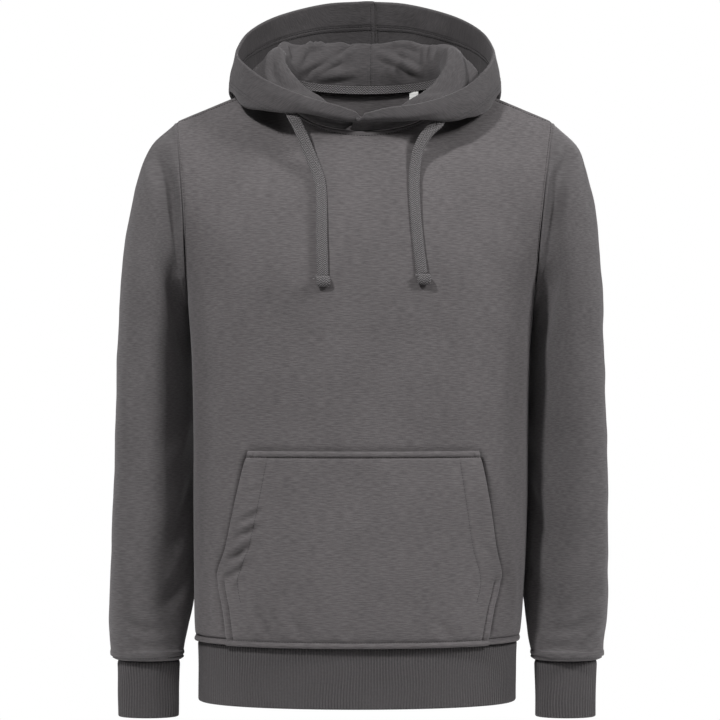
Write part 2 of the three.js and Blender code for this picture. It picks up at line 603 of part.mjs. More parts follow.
// A ribbed band: raised ribs outside, plain inside. ringAt gives a ring's point by share of the way round.
function ribBand(ringAt, heights, ribs, inner) {
  const outer = 2 * ribs;
  const points = [];
  heights.forEach((z) => {
    const ring = evenRing((turn) => ringAt(turn, z), outer);
    ring.forEach((p, k) => {
      const ahead = ring[(k + 1) % outer].clone().sub(ring[(k + outer - 1) % outer]);
      const away = ahead.cross(UP).normalize();
      points.push(p.clone().addScaledVector(away, k % 2 ? RIB_RISE : 0));
    });
  });
  const base = points.length;
  const ends = [heights[0], heights[heights.length - 1]];
  ends.forEach((z) => {
    const ring = evenRing((turn) => ringAt(turn, z), inner);
    ring.forEach((p, k) => {
      const ahead = ring[(k + 1) % inner].clone().sub(ring[(k + inner - 1) % inner]);
      points.push(p.clone().addScaledVector(ahead.cross(UP).normalize(), -RIB_CLOTH));
    });
  });
  const index = [];
  for (let r = 0; r < heights.length - 1; r += 1) {
    for (let k = 0; k < outer; k += 1) {
      const [a, b] = [r * outer + k, r * outer + ((k + 1) % outer)];
      index.push(a, b, b + outer, a, b + outer, a + outer);
    }
  }
  for (let k = 0; k < inner; k += 1) {
    const [a, b] = [base + k, base + ((k + 1) % inner)];
    index.push(a, b + inner, b, a, a + inner, b + inner);
  }
  const share = outer / inner;
  const lip = (outerStart, innerStart, up) => {
    const face = (a, b, c) => index.push(...(up ? [a, b, c] : [a, c, b]));
    for (let j = 0; j < inner; j += 1) {
      const [near, far] = [innerStart + j, innerStart + ((j + 1) % inner)];
      for (let k = 0; k < share; k += 1) {
        const a = outerStart + j * share + k;
        const b = outerStart + ((j * share + k + 1) % outer);
        face(a, b, k < share / 2 ? near : far);
      }
      face(outerStart + j * share + share / 2, far, near);
    }
  };
  lip(0, base, false);
  lip((heights.length - 1) * outer, base + inner, true);
  return geometryOf(points.map(leaned), index);
}

// Points at even distances round a ring.
function evenRing(ringAt, count) {
  const FINE = 720;
  const ring = Array.from({ length: FINE + 1 }, (_, k) => ringAt(k / FINE));
  const walked = [0];
  for (let k = 1; k <= FINE; k += 1) walked.push(walked[k - 1] + ring[k].distanceTo(ring[k - 1]));
  const points = [];
  let k = 0;
  for (let i = 0; i < count; i += 1) {
    const want = (walked[FINE] * i) / count;
    while (walked[k + 1] < want) k += 1;
    const part = (want - walked[k]) / (walked[k + 1] - walked[k]);
    points.push(ring[k].clone().lerp(ring[k + 1], part));
  }
  return points;
}

const hemRing = (turn, z) => {
  const c = Math.cos(2 * Math.PI * turn);
  const value = (key) => read(HEM_BAND, key, z);
  const x = value("half") * Math.sin(2 * Math.PI * turn);
  return point(x, (c >= 0 ? -value("front") : value("back")) * Math.abs(c) ** CHEST_ROUND, z);
};
piece("hem_rib", ribBand(hemRing, [HEM, WAIST_SEAM - GAP], HEM_RIBS, HEM_INNER), RIB_GREY);

const cuffHeights = [CUFF_END, CUFF_TOP - GAP];
const leftCuff = ribBand((turn, z) => cuffPoint(-360 * turn, z), cuffHeights, CUFF_RIBS, CUFF_INNER);
piece("cuff_left", leftCuff, RIB_GREY);
const rightCuff = ribBand((turn, z) => {
  const p = cuffPoint(180 + 360 * turn, z);
  return point(-p.x, p.y, z);
}, cuffHeights, CUFF_RIBS, CUFF_INNER);
piece("cuff_right", rightCuff, RIB_GREY);

// A flat cord along a route: an eight-sided section, its thickness facing forward.
const CORD_STEPS = 12;

function cord(route) {
  const [w, t] = [CORD_WIDTH / 2, CORD_THICK / 2];
  const section = new THREE.Shape([
    [t, 0.8 * w], [0.4 * t, w], [-0.4 * t, w], [-t, 0.8 * w],
    [-t, -0.8 * w], [-0.4 * t, -w], [0.4 * t, -w], [t, -0.8 * w],
  ].map(([a, b]) => new THREE.Vector2(a, b)));
  const path = new THREE.CatmullRomCurve3(route.map((p) => point(...p)));
  return new THREE.ExtrudeGeometry(section, { steps: CORD_STEPS, extrudePath: path, bevelEnabled: false });
}

piece("drawcord_left", cord(CORD_LEFT), CHARCOAL);
piece("drawcord_right", cord(CORD_RIGHT), CHARCOAL);

// The knotted end of a cord, a small barrel lying across it.
function knot({ x, y, z }) {
  const barrel = new THREE.CapsuleGeometry(KNOT.tall / 2, KNOT.wide - KNOT.tall, 3, 10);
  barrel.rotateZ(Math.PI / 2);
  barrel.scale(1, KNOT.deep / KNOT.tall, 1);
  return barrel.translate(x, y, z);
}

piece("cord_knot_left", knot(KNOT_LEFT), CHARCOAL);
piece("cord_knot_right", knot(KNOT_RIGHT), CHARCOAL);

// The tape inside the back of the neckline.
function neckTape() {
  const turns = [];
  for (let turn = TAPE_START; turn <= 360 - TAPE_START; turn += 7) turns.push(turn);
  const grid = [-1, 1].map((end) => turns.map((turn) => {
    const p = neckline(turn > 180 ? 360 - turn : turn);
    if (turn > 180) p.x = -p.x;
    const inward = point(-Math.sin(rad(turn)), Math.cos(rad(turn)), 0);
    return p.addScaledVector(inward, TAPE_INSET).add(point(0, 0, (end * TAPE_HEIGHT) / 2));
  }));
  return clothWall(lean(grid), TAPE_THICK);
}

piece("neck_tape", neckTape(), CHARCOAL);

// The size tab, hanging from under the tape.
const tab = new THREE.BoxGeometry(TAB.wide, TAB.thick, TAB.tall);
const tabTop = leaned(neckline(TAB.angle));
tab.rotateZ(rad(TAB.angle - 180));
tab.translate(
  tabTop.x - (TAPE_INSET + TAPE_THICK / 2) * Math.sin(rad(TAB.angle)),
  tabTop.y + (TAPE_INSET + TAPE_THICK / 2) * Math.cos(rad(TAB.angle)),
  tabTop.z - (TAPE_HEIGHT + TAB.tall) / 2 - TAB.below,
);
piece("size_tab", tab, TAB_WHITE);

export default garment;
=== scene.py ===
"""Looks of a charcoal pullover hoodie that keeps its worn shape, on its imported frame.

Sizes are in millimetres, +Z up, the garment faces -Y. Left and right are the wearer's.
"""

import logging
import math
from dataclasses import dataclass, field
from enum import Enum
from typing import Sequence, Union

import bpy
import numpy as np
from mathutils import Matrix, Vector


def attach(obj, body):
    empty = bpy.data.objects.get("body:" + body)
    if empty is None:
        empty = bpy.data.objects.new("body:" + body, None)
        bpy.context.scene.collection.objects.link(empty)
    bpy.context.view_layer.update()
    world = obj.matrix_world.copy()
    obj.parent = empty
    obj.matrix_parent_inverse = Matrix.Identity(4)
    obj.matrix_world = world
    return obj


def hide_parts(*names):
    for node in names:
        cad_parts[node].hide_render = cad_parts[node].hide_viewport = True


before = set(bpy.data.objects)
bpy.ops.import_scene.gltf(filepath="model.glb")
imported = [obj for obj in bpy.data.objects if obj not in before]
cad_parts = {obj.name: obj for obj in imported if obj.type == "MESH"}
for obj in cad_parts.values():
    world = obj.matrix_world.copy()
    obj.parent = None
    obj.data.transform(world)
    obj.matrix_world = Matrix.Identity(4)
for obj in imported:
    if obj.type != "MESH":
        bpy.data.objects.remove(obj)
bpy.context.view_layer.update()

log = logging.getLogger("hoodie")
Grid = np.ndarray
Number = Union[float, np.ndarray]

MM = 0.001  # metres in a millimetre
FLEECE = 2.2  # body cloth
RIB_CLOTH = 2.6  # folded double rib knit
CASING = 34.0  # turned hem round the hood's opening
CASING_CLOTH = 3.8
UNDER_STEP = 1.6  # between the two hood ends where they cross
NECK_ANGLE = 27.0  # degrees round the torso at which the shoulder seam meets the neckline
WAIST_SEAM = -645.0
HEM = -713.5
CHEST = -250.0  # height of the underarm
CUFF_TOP = -668.0
CUFF_END = -732.5
POCKET_TOP = -426.0
UNDERARM_FILL = 2.2  # by which body and sleeve bulge at the underarm, so that their seam stays shut


class Face(Enum):
    """The side of the body that a panel covers, as the sign of its y."""

    FRONT = -1
    BACK = 1


class Hand(Enum):
    """The wearer's side that a piece is on, as the sign of its x."""

    LEFT = 1
    RIGHT = -1


class Edge(Enum):
    """An edge of a grid of cloth points."""

    FIRST = "first row"
    LAST = "last row"
    LEFT = "first column"
    RIGHT = "last column"


# ---------------------------------------------------------------- plain helpers


def unit(v: Grid) -> Grid:
    """Vectors at length one."""
    return v / np.maximum(np.linalg.norm(v, axis=-1, keepdims=True), 1e-9)


def stack(x: Number, y: Number, z: Number) -> Grid:
    """Three coordinates joined to points."""
    return np.stack(np.broadcast_arrays(x, y, z), axis=-1).astype(float)


def smooth(x: Number, low: float, high: float) -> Number:
    """A soft step from 0 at low to 1 at high."""
    t = np.clip((np.asarray(x, float) - low) / (high - low), 0.0, 1.0)
    return t * t * (3 - 2 * t)


def blend(a: Number, b: Number, t: Number) -> Number:
    """A value between a and b."""
    return a + (b - a) * t


def linear(code: str) -> tuple[float, float, float, float]:
    """An sRGB hex colour as linear red, green, blue and alpha.

    Args:
        code: six hex digits.

    Returns:
        Four numbers for a colour socket.
    """
    parts = [int(code[i : i + 2], 16) / 255 for i in (0, 2, 4)]
    lit = [p / 12.92 if p <= 0.04045 else ((p + 0.055) / 1.055) ** 2.4 for p in parts]
    return (lit[0], lit[1], lit[2], 1.0)


def spaced(marks: Sequence[float], start: float, end: float, step: float) -> Grid:
    """Distances from start to end: close ones near the start, then even steps.

    Args:
        marks: the close distances, counted from the start.
        start: first distance.
        end: last distance.
        step: the even step after the marks.

    Returns:
        The distances in order, both ends among them.
    """
    close = [start + m for m in marks]
    count = max(2, int(round((end - close[-1]) / step)))
    return np.array(close[:-1] + list(np.linspace(close[-1], end, count + 1)))


def ripple(points: Grid, wave: float, seed: int, waves: int = 7) -> Grid:
    """A soft uneven field, from -1 to 1, that never repeats on the garment.

    Args:
        points: where it is wanted, in mm.
        wave: usual distance from rise to rise, in mm.
        seed: which field.
        waves: how many plain waves are summed.

    Returns:
        One number for each point.
    """
    rng = np.random.default_rng(seed)
    total = np.zeros(points.shape[:-1])
    for _ in range(waves):
        way = unit(rng.normal(size=3))
        length = wave * rng.uniform(0.7, 1.5)
        total += np.sin(points @ way * (2 * math.pi / length) + rng.uniform(0, 2 * math.pi))
    return total / math.sqrt(waves * 2)


@dataclass(frozen=True)
class SizeTable:
    """Sizes by height, angle or order, read on a smooth curve through the rows."""

    names: tuple[str, ...]
    rows: tuple[tuple[float, ...], ...]

    def read(self, name: str, at: Number) -> Grid:
        """A column's value at a place between the rows.

        Args:
            name: the column.
            at: the place, in the first column's terms.

        Returns:
            The value at each place.
        """
        data = np.array(self.rows, float)
        knots = data[:, 0]
        value = data[:, self.names.index(name)]
        place = np.asarray(at, float)
        i = np.clip(np.searchsorted(knots, place, side="right") - 1, 0, len(knots) - 2)
        k = np.arange(len(knots))
        below = np.maximum(k - 1, 0)
        above = np.minimum(k + 1, len(knots) - 1)
        slope = (value[above] - value[below]) / (knots[above] - knots[below])
        span = knots[i + 1] - knots[i]
        t = np.clip((place - knots[i]) / span, 0, 1)
        h1 = 2 * t**3 - 3 * t**2 + 1
        h2 = t**3 - 2 * t**2 + t
        h3 = 3 * t**2 - 2 * t**3
        h4 = t**3 - t**2
        return h1 * value[i] + h2 * span * slope[i] + h3 * value[i + 1] + h4 * span * slope[i + 1]


def curve_points(knots: Grid, at: Grid) -> Grid:
    """Points of a smooth curve through given points.

    Args:
        knots: K x ... x 3 points that the curve passes.
        at: places from 0 to K - 1, of a shape that fits the knots' middle sizes.

    Returns:
        The points, of the shape of at with 3 more.
    """
    ends = [2 * knots[0] - knots[1], *knots, 2 * knots[-1] - knots[-2]]
    full = np.stack(ends)
    i = np.clip(np.floor(at).astype(int), 0, len(knots) - 2)
    t = (at - i)[..., None]
    if knots.ndim == 2:
        p0, p1, p2, p3 = (full[i + k] for k in range(4))
    else:
        col = np.broadcast_to(np.arange(knots.shape[1]), i.shape)
        p0, p1, p2, p3 = (full[i + k, col] for k in range(4))
    m1 = 0.5 * (p2 - p0)
    m2 = 0.5 * (p3 - p1)
    a = 2 * p1 - 2 * p2 + m1 + m2
    b = -3 * p1 + 3 * p2 - 2 * m1 - m2
    return a * t**3 + b * t**2 + m1 * t + p1


# ---------------------------------------------------------------- sizes shared by the pieces

LEAN = SizeTable(
    ("at", "x"),
    (
        (-740, -3.5), (-650, -3), (-600, -1.7), (-540, -0.2), (-450, 0.8), (-250, 1.2), (-140, 3.6), (-50, 5),
        (20, 6), (120, 6.5),
    ),
)
TORSO = SizeTable(
    ("at", "half", "front", "back"),
    (
        (-650, 184, 117, 113), (-630, 187, 122, 117), (-590, 189, 124, 118), (-500, 191.5, 124, 112),
        (-400, 192.1, 123, 107), (-320, 194, 124, 109), (-250, 199, 124, 113), (-200, 201, 123, 114),
    ),
)
HEM_BAND = SizeTable(
    ("at", "half", "front", "back"),
    ((HEM, 181.5, 115.5, 111.5), (WAIST_SEAM, 182.6, 116.3, 112.3)),
)
SLEEVE = SizeTable(
    ("at", "outX", "outZ", "inX", "inZ", "front", "back", "y", "tip", "hollow"),
    (
        (0, 216, -50.6, 199, -250, 58, 60, 4, 4, 3),
        (1, 245.5, -80, 199.2, -256, 62, 64, 4, 0, 2),
        (2, 260, -121, 197.4, -271, 65, 66, 4, -8, 0),
        (3, 269.2, -177, 193.6, -300, 65, 66, 4, -22, 0),
        (4, 274.6, -240, 192, -342, 62, 63, 4, -32, 0),
        (5, 277, -320, 190.4, -398, 58, 58, 3, -36, 0),
        (6, 279.4, -400, 189.7, -458, 54, 53, 1, -36, 0),
        (7, 281.6, -480, 189.2, -520, 50, 49, -2, -34, 0),
        (8, 283.4, -555, 189.4, -580, 47, 45, -5, -26, 0),
        (9, 284.4, -615, 194, -625, 43, 42, -8, -12, 0),
        (10, 282.4, -655, 199, -657, 37, 35, -10, 0, 0),
    ),
)
SLEEVE_END = SizeTable(
    ("at", "z", "share", "puff"),
    ((0, -655, 0, 0), (0.25, -658.5, 0.04, 1.0), (0.62, -664, 0.26, 1.6), (1, CUFF_TOP, 1, -0.6)),
)
CUFF = SizeTable(
    ("at", "x", "y", "half", "deep"),
    ((CUFF_END, 239, -10, 34, 25), (CUFF_TOP, 239, -10, 35.4, 27)),
)
HOOD = SizeTable(
    ("at", "o1", "u1", "o2", "u2", "o3", "u3", "o4", "u4", "o5", "u5", "oRim", "uRim"),
    (
        (0, 2, 5, 5, 8.5, 8, 9.5, 11, 9, 14, 12, 14, 17),
        (15, 1.5, 7, 6, 13, 12, 12.5, 17, 8.5, 22.5, 13, 22, 23),
        (30, 2, 12, 8, 27, 17, 20.5, 25, 6.5, 32, 12, 28, 25),
        (45, 1, 16, 8, 34, 19, 24.5, 30, 2.5, 39, 10, 34, 27),
        (60, 0, 19, 6, 39, 20, 25.5, 38, -3.5, 48, 7, 43, 30),
        (75, -2, 19, 6, 40, 23, 22, 46, -10.5, 56, 1, 50, 33),
        (90, -2, 15, 8, 31, 27, 15, 59, -15.5, 64.5, -8, 56, 23),
        (105, -2, 18, 13, 38, 33, 15, 64, -19, 70.5, -5, 63, 40),
        (120, -3, 22, 17, 46, 37, 14, 66, -46, 77, -8, 66, 65.5),
        (140, -4, 26, 13, 50, 33, 0, 61, -92, 86, -30, 64, 90),
        (160, -4, 27, 8, 52, 29, -20, 56, -122, 88, -50, 50, 105),
        (180, -4, 27, 6, 52, 27, -25, 50, -132, 86, -58, 44, 109),
    ),
)
POCKET = SizeTable(
    ("at", "half", "shift"),
    ((-645, 145, 0), (-605, 151, 0), (-570, 157, 0), (-534, 146.5, 1), (-487, 138, 2), (-426, 128, 3)),
)
CORD_ROUTES = {
    Hand.LEFT: (
        (92, -64.5, -47), (90.5, -69, -52.5), (88, -74, -57.5), (82.5, -75.5, -62.5), (77, -77, -68), (71.5, -78.5, -75.5), (67.3, -80, -84),
        (64, -82, -94), (62, -85, -105), (60.9, -89, -117.4), (60.6, -94.1, -130), (60.8, -98.6, -142.5),
        (61.4, -103.1, -155), (62.3, -107.1, -167.4), (63.4, -110.5, -180), (64.6, -113.6, -192),
        (65.8, -116, -204), (67.3, -118.3, -216), (68.9, -120.3, -228.5),
    ),
    Hand.RIGHT: (
        (-79, -69.5, -41), (-77.5, -72.5, -46), (-75, -75.5, -51), (-71.5, -76.5, -57.5), (-68, -77.5, -65), (-64, -78.5, -74), (-60, -79.5, -84),
        (-55.6, -81.5, -94.5), (-51.3, -85, -105), (-47.4, -89.5, -115), (-44.8, -94, -125),
        (-43.4, -99.3, -137), (-42.9, -104.8, -150), (-42.7, -110, -163), (-42.6, -114.4, -177),
        (-42.4, -118, -191), (-42, -121, -204), (-41.6, -123, -217), (-41.2, -124.6, -230.7),
    ),
}
KNOTS = {Hand.LEFT: (70.4, -122.0, -234.4), Hand.RIGHT: (-41.1, -126.0, -236.7)}


def leaned(points: Grid) -> Grid:
    """The points with the garment's sideways lean."""
    moved = points.copy()
    moved[..., 0] += LEAN.read("x", points[..., 2])
    return moved


def near_underarm(points: Grid) -> Grid:
    """1 at the height of the underarm, soon falling to 0 above and below it."""
    return np.exp(-(((points[..., 2] - CHEST + 3) / 9) ** 2))


# ---------------------------------------------------------------- finishes


def add_node(tree: bpy.types.NodeTree, kind: str, inputs: dict | None = None, **settings: object) -> bpy.types.Node:
    """Adds a node with its settings and links.

    Args:
        tree: the material's or world's nodes.
        kind: the node's type.
        inputs: for each input by name or order, a value or the output socket that feeds it.
        settings: the node's own properties.

    Returns:
        The new node.
    """
    node = tree.nodes.new(kind)
    for name, value in settings.items():
        setattr(node, name, value)
    for key, value in (inputs or {}).items():
        if isinstance(value, bpy.types.NodeSocket):
            tree.links.new(value, node.inputs[key])
        else:
            node.inputs[key].default_value = value
    return node


@dataclass(frozen=True)
class ClothFinish:
    """What every cloth of the garment shares: a matt, fuzzy surface of dyed yarn."""

    name: str
    dark: str  # colour of the tone's dark end; where a finish ties tone to the yarns' height, painted shade between the yarns
    light: str  # colour of the tone's light end; where a finish ties tone to height, painted light on the yarns' tops
    rough: float = 0.92
    fuzz: float = 0.25  # sheen of the fibres that stand off the surface
    shine: float = 0.22

    def material(self) -> bpy.types.Material:
        """The finish as a material, its pattern from the method that each kind has of its own."""
        made = bpy.data.materials.new(self.name)
        made.use_nodes = True
        tree = made.node_tree
        tree.nodes.clear()
        where = add_node(tree, "ShaderNodeUVMap", uv_map="cloth").outputs["UV"]
        tone, height, deep = self.pattern(tree, where)
        colour = add_node(
            tree, "ShaderNodeMix",
            {0: tone, 6: linear(self.dark), 7: linear(self.light)}, data_type="RGBA",
        )
        bump = add_node(tree, "ShaderNodeBump", {"Strength": 1.0, "Distance": deep, "Height": height})
        shader = add_node(
            tree, "ShaderNodeBsdfPrincipled",
            {
                "Base Color": colour.outputs[2], "Roughness": self.rough, "Sheen Weight": self.fuzz,
                "Sheen Roughness": 0.5, "Specular IOR Level": self.shine, "Normal": bump.outputs[0],
            },
        )
        shader.inputs["Sheen Tint"].default_value = linear("C9C6C8")
        add_node(tree, "ShaderNodeOutputMaterial", {"Surface": shader.outputs[0]})
        return made

    def pattern(self, tree: bpy.types.NodeTree, where: bpy.types.NodeSocket) -> tuple:
        """The tone, the height field and the height's real depth in metres."""
        raise NotImplementedError


@dataclass(frozen=True)
class BrushedFleece(ClothFinish):
    """Sweatshirt fleece of cotton and polyester: plain jersey outside, brushed loops inside.

    The eye sees a matt cloth whose fine rows run round the body, a little uneven in tone because the two
    fibres take the dye differently.
    """

    streak_long: float = 10.0  # mm along a row over which one tone holds
    streak_tall: float = 1.25  # mm, one row is really 0.6 and is drawn coarser to show
    cloud: float = 60.0  # mm, soft change of tone over the panel

    def pattern(self, tree: bpy.types.NodeTree, where: bpy.types.NodeSocket) -> tuple:
        """Streaks along the rows, a fine grain and slow clouds of tone."""
        long, tall = 1000 / self.streak_long, 1000 / self.streak_tall
        stretched = add_node(tree, "ShaderNodeMapping", {"Vector": where, "Scale": (long, tall, 1.0)})
        streak = add_node(
            tree, "ShaderNodeTexNoise", {"Vector": stretched.outputs[0], "Scale": 1.0, "Detail": 2.0, "Roughness": 0.6},
            noise_dimensions="2D",
        )
        grain = add_node(
            tree, "ShaderNodeTexNoise", {"Vector": where, "Scale": 1000 / 1.6, "Detail": 1.0}, noise_dimensions="2D"
        )
        cloud = add_node(
            tree, "ShaderNodeTexNoise", {"Vector": where, "Scale": 1000 / self.cloud, "Detail": 3.0},
            noise_dimensions="2D",
        )
        wide = add_node(
            tree, "ShaderNodeMapRange",
            {"Value": streak.outputs[0], "From Min": 0.32, "From Max": 0.68, "To Min": 0.27, "To Max": 0.73},
        )
        tone = add_node(
            tree, "ShaderNodeMath", {0: cloud.outputs[0], 1: 0.30, 2: wide.outputs[0]}, operation="MULTIPLY_ADD"
        )
        low = add_node(tree, "ShaderNodeMath", {0: tone.outputs[0], 1: 0.15}, operation="SUBTRACT")
        height = add_node(
            tree, "ShaderNodeMath", {0: grain.outputs[0], 1: 0.45, 2: streak.outputs[0]}, operation="MULTIPLY_ADD"
        )
        return low.outputs[0], height.outputs[0], 0.00022


@dataclass(frozen=True)
class RibKnit(ClothFinish):
    """Double rib knit of cotton with elastane, worked in columns that the mesh itself raises.

    The eye sees even vertical ribs whose yarn tops catch light, on darker valleys, which the finish paints as painted
    light on the rib tops and painted shade in the valleys.
    """

    row: float = 1.5  # mm from stitch to stitch down a rib, drawn coarser than the real 0.8

    def pattern(self, tree: bpy.types.NodeTree, where: bpy.types.NodeSocket) -> tuple:
        """Small stitches down each rib over a soft grain, with painted shade in the valleys and painted light on the
        rib tops.
        """
        split = add_node(tree, "ShaderNodeSeparateXYZ", {0: where})
        turn = add_node(
            tree, "ShaderNodeMath", {0: split.outputs[1], 1: 2 * math.pi * 1000 / self.row}, operation="MULTIPLY"
        )
        stitch = add_node(tree, "ShaderNodeMath", {0: turn.outputs[0]}, operation="SINE")
        grain = add_node(
            tree, "ShaderNodeTexNoise", {"Vector": where, "Scale": 1000 / 2.4, "Detail": 2.0}, noise_dimensions="2D"
        )
        height = add_node(
            tree, "ShaderNodeMath", {0: stitch.outputs[0], 1: 0.16, 2: grain.outputs[0]}, operation="MULTIPLY_ADD"
        )
        # painted light and shade: the tone rises with how far up a rib each point lies
        rib = add_node(tree, "ShaderNodeAttribute", attribute_name="rib_height_painted_shade")
        tone = add_node(
            tree, "ShaderNodeMath", {0: rib.outputs["Fac"], 1: 0.50, 2: 0.03}, operation="MULTIPLY_ADD"
        )
        mixed = add_node(
            tree, "ShaderNodeMath", {0: grain.outputs[0], 1: 0.45, 2: tone.outputs[0]}, operation="MULTIPLY_ADD"
        )
        return mixed.outputs[0], height.outputs[0], 0.00030


@dataclass(frozen=True)
class BraidedCord(ClothFinish):
    """Flat braid of polyester yarn: yarns cross from both edges and meet in points down the middle.

    The eye sees small chevrons with a faint gloss on the yarns.
    """

    pitch: float = 2.3  # mm from chevron to chevron
    slope: float = 0.9  # how steeply a yarn runs to the middle

    def pattern(self, tree: bpy.types.NodeTree, where: bpy.types.NodeSocket) -> tuple:
        """Chevrons that point down the cord: the braid's own pattern, its tone following the yarns' height as painted
        shade between them and painted light on their tops.
        """
        split = add_node(tree, "ShaderNodeSeparateXYZ", {0: where})
        fold = add_node(
            tree, "ShaderNodeMath", {0: split.outputs[0], 1: 0.0029}, operation="PINGPONG"
        )
        slant = add_node(
            tree, "ShaderNodeMath", {0: fold.outputs[0], 1: self.slope, 2: split.outputs[1]}, operation="MULTIPLY_ADD"
        )
        turn = add_node(
            tree, "ShaderNodeMath", {0: slant.outputs[0], 1: 2 * math.pi * 1000 / self.pitch}, operation="MULTIPLY"
        )
        yarn = add_node(tree, "ShaderNodeMath", {0: turn.outputs[0]}, operation="SINE")
        grain = add_node(
            tree, "ShaderNodeTexNoise", {"Vector": where, "Scale": 1000 / 1.3, "Detail": 2.0}, noise_dimensions="2D"
        )
        height = add_node(
            tree, "ShaderNodeMath", {0: yarn.outputs[0], 1: 0.5, 2: grain.outputs[0]}, operation="MULTIPLY_ADD"
        )
        # painted shade and light: the tone follows the yarns' height
        tone = add_node(
            tree, "ShaderNodeMapRange", {"Value": height.outputs[0], "From Min": -0.1, "From Max": 1.1}
        )
        return tone.outputs[0], height.outputs[0], 0.00035


@dataclass(frozen=True)
class HerringboneTape(BraidedCord):
    """Cotton herringbone tape over the back neck seam: slanted ribs that turn about from stripe to stripe."""

    def pattern(self, tree: bpy.types.NodeTree, where: bpy.types.NodeSocket) -> tuple:
        """Slanted yarn ribs, their slant turned about every 4 mm of the tape: the tape's own herringbone, its tone
        following the ribs' height as painted light on them and painted shade between them.
        """
        split = add_node(tree, "ShaderNodeSeparateXYZ", {0: where})
        fold = add_node(tree, "ShaderNodeMath", {0: split.outputs[0], 1: 0.0034}, operation="PINGPONG")
        slant = add_node(
            tree, "ShaderNodeMath", {0: split.outputs[1], 1: self.slope, 2: fold.outputs[0]}, operation="MULTIPLY_ADD"
        )
        turn = add_node(
            tree, "ShaderNodeMath", {0: slant.outputs[0], 1: 2 * math.pi * 1000 / self.pitch}, operation="MULTIPLY"
        )
        yarn = add_node(tree, "ShaderNodeMath", {0: turn.outputs[0]}, operation="SINE")
        # painted light and shade: the tone is the ribs' height
        tone = add_node(tree, "ShaderNodeMapRange", {"Value": yarn.outputs[0], "From Min": -1.0, "From Max": 1.0})
        return tone.outputs[0], tone.outputs[0], 0.0005


@dataclass(frozen=True)
class SatinLabel(ClothFinish):
    """Woven polyester satin of the size tab: smooth, white, with a soft gloss across fine threads."""

    thread: float = 0.5  # mm, drawn coarser than the real 0.1

    def pattern(self, tree: bpy.types.NodeTree, where: bpy.types.NodeSocket) -> tuple:
        """Fine threads across the tab, their tone following their height as painted light and painted shade."""
        lines = add_node(
            tree, "ShaderNodeTexWave", {"Vector": where, "Scale": 1000 / self.thread / 20, "Distortion": 0.2},
            bands_direction="Y",
        )
        # painted light and shade: the tone is the threads' height
        return lines.outputs["Fac"], lines.outputs["Fac"], 0.00005


FLEECE_FINISH = BrushedFleece("brushed_fleece", dark="4B4849", light="6F6B6C")
SLEEVE_PAINTED_SHADE_FINISH = BrushedFleece("brushed_fleece_sleeve_painted_shade", dark="474445", light="696667")  # a shade deeper than the body's cloth, as painted shade for the sleeves' shadowed sides
HOOD_PAINTED_SHADE_FINISH = BrushedFleece("brushed_fleece_hood_painted_shade", dark="3A3839", light="575455")  # a shade deeper than the body's cloth, as painted shade for the hood that lies more in shadow
RIB_FINISH = RibKnit("rib_knit", dark="3A3839", light="5B5859", fuzz=0.18)
CORD_FINISH = BraidedCord("braided_cord", dark="262425", light="7C797A", rough=0.78, fuzz=0.15, shine=0.3)
TAPE_FINISH = HerringboneTape("herringbone_tape", pitch=2.6, dark="312F30", light="737071", rough=0.8, fuzz=0.1)
TAB_FINISH = SatinLabel("satin_label", dark="DEDDDB", light="F2F2F0", rough=0.45, fuzz=0.05, shine=0.4)


@dataclass(frozen=True)
class SewingThread(ClothFinish):
    """Spun polyester sewing thread in the cloth's colour, drawn darker as painted shade along the seams, with a slight
    gloss on its twist.
    """

    twist: float = 0.9  # mm for one turn of the plies

    def pattern(self, tree: bpy.types.NodeTree, where: bpy.types.NodeSocket) -> tuple:
        """Slanted plies, their tone following their height as painted light on each ply and painted shade between them.
        """
        lines = add_node(
            tree, "ShaderNodeTexWave", {"Vector": where, "Scale": 1000 / self.twist / 20, "Distortion": 0.5},
            bands_direction="DIAGONAL",
        )
        return lines.outputs["Fac"], lines.outputs["Fac"], 0.00008


# darker than the cloth: painted shade for the shadow lines along the seams
THREAD = SewingThread("sewing_thread", dark="2E2C2D", light="504D4E", rough=0.6, fuzz=0.0, shine=0.35)


class Wardrobe:
    """Makes each finish once and hands it out."""

    def __init__(self) -> None:
        """Starts with nothing made."""
        self.made: dict[str, bpy.types.Material] = {}

    def take(self, finish: ClothFinish) -> bpy.types.Material:
        """The finish's material, made at its first use."""
        if finish.name not in self.made:
            self.made[finish.name] = finish.material()
        return self.made[finish.name]


WARDROBE = Wardrobe()


# ---------------------------------------------------------------- cloth


